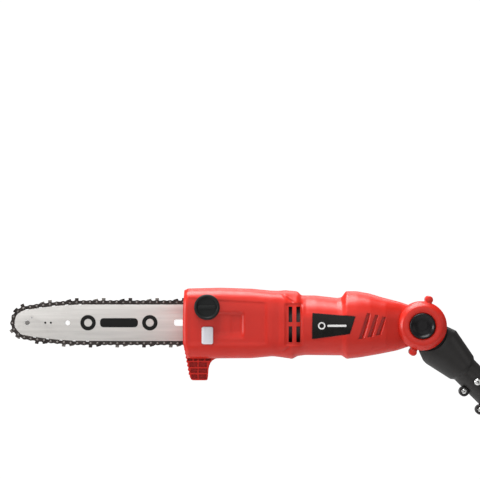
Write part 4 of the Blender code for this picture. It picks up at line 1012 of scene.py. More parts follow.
# --------------------------------------------------------------------------
# Bar and chain
# --------------------------------------------------------------------------
@dataclass
class GuideBar:
    """Laminated guide bar: grooved rails, long slot, nose rivet and printed mark."""

    y: float = 14.0
    z: float = 4.0
    thick: float = 4.0
    nose_x: float = -561.5
    nose_r: float = 18.2
    half: float = 26.0
    full_x: float = -475.0
    tail: float = -280.0
    groove_depth: float = 7.0
    groove_width: float = 1.6
    proud: float = 0.15
    holes: tuple[tuple[float, float, float], ...] = (
        (-504.1, 3.8, 3.3), (-555.3, 11.1, 1.0), (-286.5, 17.0, 3.3))
    slot: tuple[float, float, float] = (-322.25, 30.25, 4.35)
    nose_pocket_r: float = 17.2
    nose_pin_r: float = 3.7
    mark_rings: Point = (-475.0, -387.0)
    mark_dots: Point = (-536.0, -528.0)

    def blend(self) -> tuple[float, float, float]:
        """Find where the nose circle meets the parabola half - c (full_x - x)^2 with one slope.

        Returns:
            The meeting angle, the parabola's c and the meeting x.
        """
        low, high = 1.0, 20.0
        angle = curve = start = 0.0
        for _ in range(50):
            angle = math.radians((low + high) / 2)
            start = self.nose_x - self.nose_r * math.sin(angle)
            curve = math.tan(angle) / (2 * (self.full_x - start))
            if self.half - curve * (self.full_x - start) ** 2 > self.nose_r * math.cos(angle):
                low = math.degrees(angle)
            else:
                high = math.degrees(angle)
        return angle, curve, start

    def edge(self, out: float = 0.0, tail: float | None = None, rail_steps: int = 30,
             nose_steps: int = 48) -> Array:
        """The bar's edge from the tail's top round the nose to the tail's bottom.

        Args:
            out: how far it is moved out, square to itself.
            tail: where it ends; None is the bar's own tail.
            rail_steps: points on each rail.
            nose_steps: points round the nose.

        Returns:
            Array (points, 2) of x and z.
        """
        angle, curve, start = self.blend()
        x = np.linspace(self.full_x, start, rail_steps)
        slope = 2 * curve * (self.full_x - x)
        size = np.hypot(slope, 1)
        rail = np.stack([x - out * slope / size,
                         self.half - curve * (self.full_x - x) ** 2 + out / size], 1)
        turn = np.linspace(np.pi / 2 + angle, 3 * np.pi / 2 - angle, nose_steps)[1:-1]
        nose = np.stack([self.nose_x + (self.nose_r + out) * np.cos(turn),
                         (self.nose_r + out) * np.sin(turn)], 1)
        first = np.array([[self.tail if tail is None else tail, self.half + out]])
        upper = np.concatenate([first, rail])
        line = np.concatenate([upper, nose, upper[::-1] * np.array([1.0, -1.0])])
        return line + np.array([0.0, self.z])

    def plate(self) -> Shape:
        """The bar's solid: rounded rails, chain groove, slot, holes and the sprocket's pocket."""
        half = self.thick / 2
        line = self.edge()
        tail_points = np.array([(self.tail - 7, line[0, 1]), (self.tail, line[0, 1] - 7),
                                (self.tail, line[-1, 1] + 7), (self.tail - 7, line[-1, 1])])
        outline = np.concatenate([tail_points[:1], line[1:-1], tail_points[3:], tail_points[2:3],
                                  tail_points[1:2]])
        body = slab(outline, self.y - half, self.y + half, edge=0.35, edge_steps=2)
        core = slab(self.edge(-self.groove_depth, self.tail + 12), self.y - half, self.y + half)
        pocket = rod(self.nose_pocket_r, 0, 30, centre=(self.nose_x, 0, self.z))
        core = carved_shape(core, (pocket, "DIFFERENCE"))
        gap = self.groove_width / 2
        groove = carved_shape(slab(self.edge(6, self.tail + 8), self.y - gap, self.y + gap),
                              (core, "DIFFERENCE"))
        slot_x, slot_half, slot_high = self.slot
        holes = [slab(rounded_box_outline(slot_x, self.z, slot_half, slot_high, 4.3), 0, 30)]
        for x, z, radius in self.holes:
            holes.append(rod(radius, 0, 30, centre=(x, 0, z), steps=40))
        holes.append(rod(self.nose_pin_r, 0, 30, centre=(self.nose_x, 0, self.z), steps=48))
        return carved_shape(body, (groove, "DIFFERENCE"), (gathered(*holes), "DIFFERENCE"))

    def print_mark(self) -> Shape:
        """Plain mark printed on the near side: a round-ended bar, two rings and two dots."""
        face = self.y - self.thick / 2
        low, high = face - self.proud, face + 0.1
        pill = slab(rounded_box_outline(-431.0, self.z, 27.0, 6.5, 6.4), low, high)
        rings = [turned([(5.6, low), (11.0, low), (11.0, high), (5.6, high)],
                        centre=(x, 0, self.z), steps=56) for x in self.mark_rings]
        dots = [rod(1.5, low, high, centre=(x, 0, self.z), steps=24) for x in self.mark_dots]
        return gathered(pill, *rings, *dots)

    def build(self, shop: Workshop) -> None:
        """Make the bar, its nose rivets and its mark."""
        shop.piece("bar_plate", self.plate(), HEAD, BAR_STEEL, "bar", ("guide_bar",), sharp=30)
        half = self.thick / 2
        low, high = self.y - half, self.y + half
        rivet = turned([(0, low - 0.35), (2.2, low - 0.35), (3.4, low + 0.05), (3.4, high - 0.05),
                        (2.2, high + 0.35), (0, high + 0.35)],
                       centre=(self.nose_x, 0, self.z), steps=48)
        shop.piece("nose_pin", rivet, HEAD, RIVET_GREY, "bar", ("nose_rivet",))
        shop.piece("bar_mark", self.print_mark(), HEAD, BAR_PRINT, "bar")


@dataclass
class SawChain:
    """Detailed chain: drive links, tie straps, left and right cutters and rivets."""

    bar: GuideBar
    pitch: float = 9.525
    links: int = 80
    rise: float = 3.2
    sprocket_x: float = -244.9
    sprocket_teeth: int = 6
    strap_thick: float = 1.15
    drive_thick: float = 1.3
    first: float = 4.2
    link_gap: float = 0.1
    tail_clear: float = 12.0
    cutter_every: int = 8
    cutter_sides: tuple[tuple[int, int], ...] = ((0, 1), (4, -1))

    def path(self) -> Array:
        """The rivet line as one closed fine polyline, running towards the pole along the top."""
        roll = self.pitch / (2 * math.sin(math.pi / (2 * self.sprocket_teeth)))
        edge = self.bar.edge(self.rise, self.bar.tail, 60, 160) - np.array([0.0, self.bar.z])
        reach = self.sprocket_x - self.bar.tail
        lift = self.bar.half + self.rise
        lean = math.atan2(lift, reach) - math.asin(roll / math.hypot(reach, lift))
        begin = lean - math.pi / 2
        angle = np.linspace(begin, -begin, 60)
        wrap = np.stack([self.sprocket_x + roll * np.cos(angle), roll * np.sin(angle)], axis=1)
        return np.concatenate([edge, wrap])[::-1] + np.array([0.0, self.bar.z])

    def rivets(self) -> Array:
        """Rivet places: the closed path read at even steps of its own length."""
        line = self.path()
        line = np.concatenate([line, line[:1]])
        run = np.concatenate([[0.0], np.cumsum(np.linalg.norm(np.diff(line, axis=0), axis=1))])
        at = (self.first + np.arange(self.links) * run[-1] / self.links) % run[-1]
        return np.stack([np.interp(at, run, line[:, 0]), np.interp(at, run, line[:, 1])], axis=1)

    def lay(self, link: Shape, start: Array, end: Array) -> Shape:
        """Set a link's own (along, y, out) points on the line from one rivet to the next."""
        along = (end - start) / np.linalg.norm(end - start)
        out = np.array([-along[1], along[0]])
        flat = (start + end)[None, :] / 2 + link.points[:, :1] * along + link.points[:, 2:] * out
        return Shape(np.stack([flat[:, 0], self.bar.y + link.points[:, 1], flat[:, 1]], axis=1),
                     link.faces)

    def layer(self, side: int) -> Point:
        """Lowest and highest y of the side plates on one side."""
        inner = side * (self.drive_thick / 2 + self.link_gap)
        outer = side * (self.drive_thick / 2 + self.link_gap + self.strap_thick)
        return min(inner, outer), max(inner, outer)

    def strap(self, side: int) -> Shape:
        """Side strap: two round ends with a waist."""
        half = self.pitch / 2
        outline = [(-half - 3.4, -0.4), (-half - 2.6, -3.15), (half + 2.6, -3.15),
                   (half + 3.4, -0.4), (half + 2.7, 2.1), (half + 0.9, 3.1), (half - 0.9, 3.1),
                   (0, 2.2), (-half + 0.9, 3.1), (-half - 0.9, 3.1), (-half - 2.7, 2.1)]
        return slab(outline, *self.layer(side), edge=0.18, edge_steps=1)

    def drive(self) -> Shape:
        """Drive link: a body between two rivets and a hooked tang that runs in the groove."""
        half = self.pitch / 2
        outline = [(-half - 2.9, 0.2), (-half - 1.6, -2.9), (-1.8, -3.6), (-0.4, -8.6), (1.6, -8.6),
                   (3.0, -5.0), (half + 1.6, -2.9), (half + 2.9, 0.2), (half + 1.2, 2.7),
                   (half - 1.6, 2.6), (0, 2.2), (-half + 1.6, 2.6), (-half - 1.2, 2.7)]
        return slab(outline, -self.drive_thick / 2, self.drive_thick / 2)

    def short_drive(self) -> Shape:
        """Drive link without its tang, for the few that sit over the two sprockets."""
        half = self.pitch / 2
        outline = [(-half - 2.9, 0.2), (-half - 1.2, -2.3), (0, -2.4), (half + 1.2, -2.3),
                   (half + 2.9, 0.2), (half + 1.2, 2.7), (half - 1.6, 2.6), (0, 2.2),
                   (-half + 1.6, 2.6), (-half - 1.2, 2.7)]
        return slab(outline, -self.drive_thick / 2, self.drive_thick / 2)

    def cutter(self, side: int) -> Shape:
        """Cutter: a side plate with heel and depth gauge, and a top plate across the chain.

        Args:
            side: -1 for the near side of the bar, 1 for the far side.

        Returns:
            The cutter in its own (along, y, out) frame.
        """
        half = self.pitch / 2
        plate = [(-half - 6.2, 1.9), (-half - 3.4, -0.4), (-half - 2.2, -2.9), (0, -2.6),
                 (half + 2.2, -2.9), (half + 3.0, -0.4), (half + 2.9, 3.2), (half + 3.1, 6.1),
                 (half - 1.6, 6.3), (half - 2.4, 5.6), (half - 2.2, 3.4), (half - 3.6, 2.6),
                 (-half + 2.8, 2.4), (-half + 2.0, 3.0), (-half + 1.3, 4.9), (-half - 0.6, 5.0),
                 (-half - 5.6, 3.0)]
        body = slab(plate, *self.layer(side), edge=0.15, edge_steps=1)
        outer = side * 3.3
        inner = -side * 0.9
        bend = side * 1.8
        front, back = -half + 1.5, -half - 4.8
        top = np.array([[(back, outer, 2.9), (back, inner, 2.9), (back, inner, 3.7),
                         (back, outer, 3.7)],
                        [(front, outer, 4.3), (front, inner, 4.3), (front, inner, 5.2),
                         (front, outer, 5.2)]])
        wall = np.array([[(back, outer, 1.6), (back, bend, 1.6), (back, bend, 3.5),
                          (back, outer, 3.5)],
                         [(front, outer, 2.4), (front, bend, 2.4), (front, bend, 5.0),
                          (front, outer, 5.0)]])
        return gathered(body, skin(top), skin(wall))

    def rivet(self) -> Shape:
        """Rivet through the links, with a low domed head each side."""
        reach = self.drive_thick / 2 + self.link_gap + self.strap_thick
        return turned([(0, -reach - 0.45), (0.9, -reach - 0.4), (1.45, -reach), (1.45, reach),
                       (0.9, reach + 0.4), (0, reach + 0.45)], steps=10)

    def build(self, shop: Workshop) -> None:
        """Lay the links: straps and drive links take turns, each fourth place a cutter."""
        spots = self.rivets()
        ends = np.roll(spots, -1, axis=0)
        groups: dict[str, list[Shape]] = {name: [] for name in ("straps", "drives", "near", "far",
                                                                "rivets")}
        rivet = self.rivet()
        for number, (start, end) in enumerate(zip(spots, ends)):
            groups["rivets"].append(rivet.moved((start[0], self.bar.y, start[1])))
            if number % 2:
                straight = (self.bar.full_x < start[0] < self.bar.tail - self.tail_clear
                            and self.bar.full_x < end[0])
                link = self.drive() if straight else self.short_drive()
                groups["drives"].append(self.lay(link, start, end))
                continue
            side = dict(self.cutter_sides).get(number % self.cutter_every, 0)
            for strap_side in (-1, 1):
                if strap_side != side:
                    groups["straps"].append(self.lay(self.strap(strap_side), start, end))
            if side:
                name = "near" if side < 0 else "far"
                groups[name].append(self.lay(self.cutter(side), start, end))
        shop.piece("chain_straps", gathered(*groups["straps"]), HEAD, CHAIN_OXIDE_AND_SHADE, "bar",
                   ("saw_chain",))
        shop.piece("chain_drives", gathered(*groups["drives"]), HEAD, CHAIN_OXIDE_AND_SHADE, "bar")
        # Near-side cutters get the dark finish as painted shade; the far-side cutters keep the
        # chrome.
        shop.piece("chain_cutters_near", gathered(*groups["near"]), HEAD, CHAIN_OXIDE_AND_SHADE, "bar")
        shop.piece("chain_cutters_far", gathered(*groups["far"]), HEAD, CHAIN_BRIGHT, "bar")
        shop.piece("chain_rivets", gathered(*groups["rivets"]), HEAD, RIVET_STEEL, "bar")


# --------------------------------------------------------------------------
# Knuckle and pole
# --------------------------------------------------------------------------
@dataclass
class Screw:
    """Pan-head screw seen from its head side, with a cross recess."""

    head_r: float = 4.0
    head_high: float = 2.4
    shank_r: float = 1.95

    def shape(self, at: Point, under: float, tip: float) -> Shape:
        """Turn the screw along Y and press the cross into its head.

        Args:
            at: (x, z) of its axis.
            under: y of the underside of its head.
            tip: y of its far end.

        Returns:
            The screw's surface.
        """
        away = -1.0 if tip > under else 1.0
        crown = under + away * self.head_high
        profile = [(0, crown), (self.head_r * 0.55, crown), (self.head_r * 0.9, crown - away * 0.6),
                   (self.head_r, crown - away * 1.2), (self.head_r, under), (self.shank_r, under),
                   (self.shank_r, tip), (0, tip)]
        body = turned(profile, centre=(at[0], 0, at[1]), steps=40)
        arms = []
        for half_x, half_z in ((self.head_r * 0.48, 0.42), (0.42, self.head_r * 0.48)):
            y0, y1 = sorted((crown + away * 1.0, crown - away * 1.5))
            arms.append(block((at[0] - half_x, at[0] + half_x), (y0, y1),
                              (at[1] - half_z, at[1] + half_z)))
        return carved_shape(body, (gathered(*arms), "DIFFERENCE"))


@dataclass
class Knuckle:
    """Dark moulded adapter between the drum and the pole, in two halves."""

    mouth_r: float = 35.0
    mouth_dip: Point = (9.0, 29.4)
    axis_w: float = -1.5
    upper: list[Point] = field(default_factory=lambda: [
        (5, 12), (26, 24.7), (39.5, 29.6), (82.9, 21.4), (86.5, 18.6), (168, 18.4)])
    lower: list[Point] = field(default_factory=lambda: [
        (5, -14), (22.9, -28.7), (36.3, -33.7), (42.9, -33.7), (82.4, -24.9), (86.5, -21.3),
                                                        (168, -21.2)])
    half: list[Point] = field(default_factory=lambda: [
        (5, 24), (42, 25), (83, 22.5), (87, 19.9), (168, 19.9)])
    screws: tuple[Point, ...] = ((108, -23.7), (142.6, -25.7), (108, 20.7), (142.6, 22.7))
    tube_screw: Point = (111.7, -0.7)
    end: float = 168.0
    seam: float = 0.15
    tongue_r: float = 30.0
    tube_bore_r: float = 15.3
    duct_r: float = 9.0

    def body(self) -> Shape:
        """Sections along the pole: y = h r cos a, w = mid + k r sin a, with a bulging shoulder."""
        t = np.concatenate([np.arange(5, 80, 1.5), np.arange(80, 95, 0.6),
                            np.arange(95, self.end - 2, 2.5),
                            [self.end - 2, self.end - 0.8, self.end]])
        angle = np.linspace(0, 2 * np.pi, 120, endpoint=False)[None, :]
        shift = 3.6 * np.cos(angle) ** 2 * stepped(t, 83,
                                                   10)[:, None] * (1 - stepped(t, 96, 16))[:, None]
        read = t[:, None] - shift
        top = eased(read, self.upper, 2.0)
        low = eased(read, self.lower, 2.0)
        wide = eased(read, self.half, 2.0)
        square = np.interp(t, [5, 45, 82, 92, 168], [2.5, 2.3, 2.05, 2.0, 2.0])[:, None]
        out = (np.abs(np.cos(angle)) ** square + np.abs(np.sin(angle)) ** square) ** (-1 / square)
        rounding = np.interp(t, [self.end - 2, self.end - 0.8, self.end], [0, 0.5, 1.6])[:, None]
        y = (wide - rounding) * np.cos(angle) * out
        w = (top + low) / 2 + ((top - low) / 2 - rounding) * np.sin(angle) * out
        rings = np.stack([np.broadcast_to(t[:, None], y.shape), y, w], axis=-1)
        return skin(rings)

    def build(self, shop: Workshop) -> None:
        """Make both halves and the screws, with the pivot pin's bore cut through the halves."""
        bosses = [turned([(0, -13), (5.6, -13), (7.1, -11.6), (7.1, 11.6), (5.6, 13), (0, 13)],
                         centre=(t, 0, w), steps=56) for t, w in self.screws]
        tongue = rod(self.tongue_r, -8, 8, steps=96, rounding=0.5)
        neck = block((5, 50), (-8, 8), (-22, 22))
        drum_room = rod(self.mouth_r, -FAR, FAR, steps=160)
        dip_t, dip_r = self.mouth_dip
        dip = rod(dip_r, -FAR, FAR, centre=(dip_t, 0, 0), steps=160)
        solid = carved_shape(self.body(), (drum_room, "DIFFERENCE"), (dip, "DIFFERENCE"),
                             (gathered(*bosses), "UNION"))
        solid = carved_shape(solid, (tongue, "UNION"), (neck, "UNION"))
        bore = rod(self.tube_bore_r, 98, 200, Axis.X, (0, 0, self.axis_w), 96)
        duct = rod(self.duct_r, 48, 99, Axis.X, (0, 0, self.axis_w), 40)
        pin = rod(PIN_R, -40, 40, steps=56)
        sinks = [turned([(0, -30), (4.3, -30), (4.3, -10.5), (2.3, -10.5), (2.3, 8), (0, 8)],
                        centre=(t, 0, w), steps=40) for t, w in self.screws]
        t, w = self.tube_screw
        sinks.append(turned([(0, -30), (6.2, -30), (6.2, -18.6), (2.3, -18.6), (2.3, 22), (0, 22)],
                            centre=(t, 0, w), steps=48))
        solid = carved_shape(solid, (bore, "DIFFERENCE"), (duct, "DIFFERENCE"), (pin, "DIFFERENCE"),
                             (gathered(*sinks), "DIFFERENCE"))
        near = carved_shape(solid, (block((-60, 200), (-60, -self.seam), (-60, 60)), "INTERSECT"))
        far = carved_shape(solid, (block((-60, 200), (self.seam, 60), (-60, 60)), "INTERSECT"))
        shop.piece("adapter_near", near, POLE, GREY_KNUCKLE, "pole_upper", ("knuckle_near",))
        shop.piece("adapter_far", far, POLE, GREY_KNUCKLE, "pole_upper", ("knuckle_far",))
        for number, at in enumerate(self.screws, 1):
            shop.piece(f"adapter_screw_{number}", Screw().shape(at, -10.8, 7.0), POLE, ZINC_STEEL,
                       "pole_upper", (f"knuckle_screw_{number}",))
        shop.piece("tube_fixing_screw", Screw(4.6, 2.6).shape(self.tube_screw, -18.9, 21.0), POLE,
                   ZINC_STEEL, "pole_upper", ("tube_screw",))


@dataclass
class Pole:
    """Telescoping tubes, guide bush, lever clamp, fore-grip and strap ring."""

    axis_w: float = -1.5
    inner_r: float = 15.0
    outer_r: float = 17.5
    wall: float = 1.5
    inner_ends: Point = (100.0, 1040.0)
    outer_ends: Point = (200.0, 1080.0)
    pin_at: Point = (216.0, -33.0)

    def along(self, profile: list[Point], steps: int = 96, rounding: float = 0.0) -> Shape:
        """Turn a (radius, t) profile about the pole's own axis."""
        return turned(profile, Axis.X, (0, 0, self.axis_w), steps, rounding)

    def tube(self, radius: float, ends: Point) -> Shape:
        """A drawn tube with broken edges."""
        inner = radius - self.wall
        return self.along([(inner, ends[0]), (radius, ends[0]), (radius, ends[1]),
                           (inner, ends[1])],
                          rounding=0.4)

    def collar(self) -> Shape:
        """Clamp collar: a turned body with grip ribs, two ears and a closing gap."""
        bore = self.outer_r + 0.3
        lip = self.inner_r + 0.4
        body = self.along([(bore, 196.5), (bore, 262), (21.4, 262), (22.6, 261.2), (24, 257),
                           (24, 201), (22.6, 195), (21.2, 193), (lip, 193), (lip, 196.5)], 128, 0.5)
        ears = [slab(rounded_box_outline(223, -29, 17, 11, 6), y0, y1, edge=0.8) for y0,
                y1 in ((-9, -3), (3, 9))]
        angle = np.radians(np.arange(-60, 241, 12))
        ribs = [rod(0.9, 205, 253, Axis.X,
                    (0, 24.3 * math.cos(a), self.axis_w + 24.3 * math.sin(a)), 10) for a in angle]
        x, w = self.pin_at
        hole = rod(2.8, -30, 30, centre=(x, 0, w), steps=32)
        bore_tool = self.along([(0, 196.5), (bore, 196.5), (bore, 270), (0, 270)])
        return carved_shape(body, (gathered(*ears), "UNION"), (bore_tool, "DIFFERENCE"),
                            (gathered(*ribs), "DIFFERENCE"),
                            (block((190, 246), (-2, 2), (-60, -16)), "DIFFERENCE"),
                            (hole, "DIFFERENCE"))

    def lever(self) -> Shape:
        """Clamp lever: a round eye and a curved flat arm with a raised tip."""
        x, w = self.pin_at
        eye = rod(7, -17, -9.4, centre=(x, 0, w), steps=64, rounding=0.6)
        arm = slab([(215, -39.5), (240, -39.5), (262, -38.6), (272, -36.6), (272, -34.2),
                    (262, -33.4), (215, -33)],
                   -16.5, -10, edge=1.0, corner=1.6)
        hole = rod(2.8, -30, 0, centre=(x, 0, w), steps=32)
        return carved_shape(eye, (arm, "UNION"), (hole, "DIFFERENCE"))

    def grip(self) -> Shape:
        """Foam fore-grip with rounded ends and shallow finger grooves."""
        t = np.linspace(600, 860, 131)
        swell = 20.5 + 3.0 * np.sin(np.clip((t - 600) / 8, 0, 1) * np.pi / 2) * np.sin(
            np.clip((860 - t) / 8, 0, 1) * np.pi / 2)
        swell -= 0.9 * (0.5 + 0.5 * np.cos((t - 730) / 20 * 2 * np.pi)) * ((t > 640) & (t < 820))
        bore = self.outer_r + 0.3
        return self.along([(bore, 600.0), *zip(swell.tolist(), t.tolist()), (bore, 860.0)], 96)

    def strap_ring(self) -> Shape:
        """Steel band with a lug and an eye for the shoulder strap."""
        band = self.along([(self.outer_r + 0.3, 890), (21, 890), (21, 906),
                           (self.outer_r + 0.3, 906)], 96, 0.5)
        lug = slab([(892.5, 18), (903.5, 18), (903.5, 34), (901, 38.6), (898, 40), (895, 38.6),
                    (892.5, 34)],
                   -3, 3, edge=0.8, corner=1.2)
        hole = rod(4.2, -20, 20, centre=(898, 0, 31), steps=40)
        return carved_shape(band, (lug, "UNION"), (hole, "DIFFERENCE"))

    def build(self, shop: Workshop) -> None:
        """Make every piece on the pole between the adapter and the rear handle."""
        screw = rod(2.3, -30, 30, centre=(111.7, 0, -0.7), steps=24)
        inner = carved_shape(self.tube(self.inner_r, self.inner_ends), (screw, "DIFFERENCE"))
        shop.piece("drawn_inner_tube", inner, POLE, TUBE_METAL, "pole_upper", ("inner_tube",))
        end = self.inner_ends[1] + 0.3
        bore, rim = self.inner_r - 4, self.outer_r - self.wall - 0.3
        bush = self.along([(bore, end), (rim, end), (rim, end + 4), (rim - 0.7, end + 5),
                           (rim - 0.7, end + 8.5), (rim, end + 9.5), (rim, end + 13.7),
                           (bore, end + 13.7)], 72, 0.4)
        shop.piece("tube_guide_bush", bush, POLE, BLACK_CAP, "pole_upper", ("glide_bush",))
        shop.piece("coated_outer_tube", self.tube(self.outer_r, self.outer_ends), POLE, TUBE_BLACK,
                   "pole_lower", ("outer_tube",))
        shop.piece("ribbed_clamp_collar", self.collar(), POLE, BLACK_COVER, "pole_lower",
                   ("clamp_collar",))
        x, w = self.pin_at
        bolt = turned([(0, -18.5), (2.1, -18.5), (2.5, -18), (2.5, 13.5), (0, 13.5)],
                      centre=(x, 0, w), steps=32)
        angle = np.radians(np.arange(0, 360, 60))
        nut = slab(np.stack([x + 5.5 * np.cos(angle), w + 5.5 * np.sin(angle)], axis=1), 9.3, 13.0,
                   edge=0.4)
        shop.piece("clamp_bolt_and_nut", carved_shape(bolt, (nut, "UNION")), POLE, ZINC_STEEL,
                   "pole_lower", ("clamp_bolt",))
        shop.piece("clamp_lever_arm", self.lever(), POLE, RED_HOOK, "clamp_lever", ("clamp_lever",))
        shop.piece("foam_fore_grip", self.grip(), POLE, SOFT_RUBBER, "pole_lower", ("front_grip",))
        shop.piece("shoulder_strap_ring", self.strap_ring(), POLE, ZINC_STEEL, "pole_lower",
                   ("strap_ring",))


@dataclass
class RearHandle:
    """Closed rear handle in two halves, with trigger, lock-off button, screws and cord inlet."""

    axis_w: float = -1.5
    wall: float = 2.6
    rings: tuple[tuple[float, float, float, float], ...] = (
        (1030, 20.5, 21, 21), (1036, 23.5, 24, 24), (1090, 26, 27, 31), (1112, 22, 24, 26),
                                                            (1150, 18.5, 21, 21),
        (1200, 19, 22, 22), (1262, 20, 23, 23), (1290, 26, 28, 33), (1350, 27, 29, 33),
                                                            (1370, 25, 27, 30))
    squareness: float = 2.6
    screws: tuple[Point, ...] = ((1206.0, 0.0), (1310.0, -18.0))
    seam: float = 0.15

    def sections(self, inward: float) -> Array:
        """Sections along the pole: y = h r cos a, w = axis + reach r sin a.

        As on the head, r is (|cos a|^n + |sin a|^n)^(-1/n).

        Args:
            inward: distance inside the outer surface.

        Returns:
            Rings, array (stations, points, 3).
        """
        table = np.array(self.rings, dtype=float)
        first, last = table[0, 0] + 4 * inward, table[-1, 0] - inward
        t = np.linspace(first, last, 120 if not inward else 50)
        read = [eased(t, list(zip(table[:, 0], table[:, column])), 14.0) for column in (1, 2, 3)]
        angle = np.linspace(0, 2 * np.pi, 96 if not inward else 48, endpoint=False)[None, :]
        cosine, sine = np.cos(angle), np.sin(angle)
        power = self.squareness
        out = (np.abs(cosine) ** power + np.abs(sine) ** power) ** (-1 / power)
        edge = np.zeros(len(t)) if inward else 1.6 * (
            np.clip((first + 2 - t) / 2, 0, 1) ** 2 + np.clip((t - last + 3) / 3, 0, 1) ** 2)
        half, up, down = (column[:, None] - inward - edge[:, None] for column in read)
        reach = np.where(sine > 0, up, down)
        y = half * cosine * out
        w = self.axis_w + reach * sine * out
        return np.stack([np.broadcast_to(t[:, None], y.shape), y, w], axis=-1)

    def panels(self) -> Shape:
        """Shallow grip grooves across the narrow part, on both cheeks."""
        rows = []
        for t in np.arange(1212.0, 1262.0, 7.0):
            for side in (-1, 1):
                rows.append(swept(np.stack([np.full(9, t), np.full(9, side * 20.6),
                                            np.linspace(-14, 11, 9)], 1),
                                  1.5, 12))
        return gathered(*rows)

    def build(self, shop: Workshop) -> None:
        """Make the halves and what is set into them."""
        axis = (0, 0, self.axis_w)
        body = carved_shape(skin(self.sections(0.0)),
                            (skin(self.sections(self.wall)), "DIFFERENCE"))
        sleeve = turned([(15.3, 1043), (22, 1043), (22, 1056), (15.3, 1056)], Axis.X, axis, 72)
        tube_room = rod(17.8, 1000, 1081, Axis.X, axis, 96)
        inlet_room = rod(14.3, 1350, 1400, Axis.X, axis, 64)
        trigger_room = block((1093, 1151), (-7.3, 7.3), (-60, -14))
        lock_room = block((1090, 1108), (-5.3, 5.3), (10, 60))
        posts = [rod(5, -22, 22, centre=(t, 0, w), steps=32)
                 for t, w in self.screws]
        sinks = [turned([(0, -40), (4.4, -40), (4.4, -18), (2.3, -18), (2.3, 14), (0, 14)],
                        centre=(t, 0, w), steps=40) for t, w in self.screws]
        body = carved_shape(body, (sleeve, "UNION"), (gathered(*posts), "UNION"),
                            (tube_room, "DIFFERENCE"), (inlet_room, "DIFFERENCE"),
                            (gathered(trigger_room, lock_room), "DIFFERENCE"),
                            (gathered(*sinks), "DIFFERENCE"), (self.panels(), "DIFFERENCE"))
        near = carved_shape(body, (block((1000, 1400), (-80, -self.seam), (-80, 80)), "INTERSECT"))
        far = carved_shape(body, (block((1000, 1400), (self.seam, 80), (-80, 80)), "INTERSECT"))
        shop.piece("rear_handle_near", near, POLE, GREY_KNUCKLE, "pole_lower", ("handle_near",))
        shop.piece("rear_handle_far", far, POLE, GREY_KNUCKLE, "pole_lower", ("handle_far",))
        for number, at in enumerate(self.screws, 1):
            shop.piece(f"rear_screw_{number}", Screw(4.0, 2.4).shape(at, -18.3, 13.0), POLE,
                       ZINC_STEEL, "pole_lower", (f"handle_screw_{number}",))
        blade = [(1097, -20.5), (1147, -20.5), (1147, -24), (1137, -27), (1128, -30.5), (1118, -35),
                 (1108, -38), (1102, -37.6), (1098, -34)]
        shop.piece("squeeze_trigger", slab(blade, -6.8, 6.8, edge=1.6, corner=2.0), POLE,
                   BLACK_BUTTON, "trigger", ("trigger",))
        shop.piece("lock_off_button", slab([(1091, 14), (1107, 14), (1107, 30), (1104, 31),
                                            (1094, 31), (1091, 30)],
                                           -4.8, 4.8, edge=1.2, corner=1.2), POLE, RED_HOOK,
                   "lock_button", ("lock_button",))
        socket = turned([(11, 1350), (11, 1368), (14, 1368), (14, 1345), (0, 1345),
                         (0, 1350)][::-1], Axis.X,
                        axis, 72)
        pins = [turned([(0, 1349), (2, 1349), (2, 1364), (1.2, 1365), (0, 1365)], Axis.X,
                       (0, y, self.axis_w), 24)
                for y in (-5, 5)]
        shop.piece("cord_inlet", carved_shape(socket, (gathered(*pins), "UNION")), POLE, BLACK_CAP,
                   "pole_lower", ("power_inlet",))


@dataclass
class ChainCover:
    """Cover over the sprocket on the far side and the knob that holds it."""

    x: Point = (-337.0, -202.0)
    y: Point = (9.3, 38.0)
    z: Point = (-44.0, 49.0)
    stud: Point = (-318.0, 4.0)

    def build(self, shop: Workshop) -> None:
        """Make the hollow cover with its ribs, and the dented knob."""
        body = block(self.x, self.y, self.z, edge=6.0)
        room = block((-360, -204.5), (0, 35.5), (-41.5, 46.5), edge=2.0)
        x, z = self.stud
        post = rod(9, 18.2, 36.5, centre=(x, 0, z), steps=48)
        hole = rod(4.3, 0, 50, centre=(x, 0, z), steps=40)
        lines = [block((-286, -214), (37.2, 39), (z + offset - 0.9, z + offset + 0.9))
                 for offset in (-30, -20, -10, 0, 10, 20, 30)]
        cover = carved_shape(body, (room, "DIFFERENCE"), (post, "UNION"), (hole, "DIFFERENCE"),
                             (gathered(*lines), "DIFFERENCE"))
        shop.piece("sprocket_cover", cover, HEAD, BLACK_COVER, "chain_cover", ("chain_cover",))
        knob = turned([(0, 46), (4.3, 46), (4.3, 38.4), (20, 38.4), (20, 48), (18, 50), (0, 50)],
                      centre=(x, 0, z), steps=96)
        angle = np.linspace(0, 2 * np.pi, 8, endpoint=False)
        dents = [rod(4, 30, 60, centre=(x + 22.5 * math.cos(a), 0, z + 22.5 * math.sin(a)),
                     steps=32) for a in angle]
        groove = turned([(12, 48.8), (15, 48.8), (15, 52), (12, 52)], centre=(x, 0, z), steps=72)
        knob = carved_shape(knob, (gathered(*dents), "DIFFERENCE"), (groove, "DIFFERENCE"))
        shop.piece("cover_clamp_knob", knob, HEAD, BLACK_BUTTON, "cover_knob", ("cover_knob",))


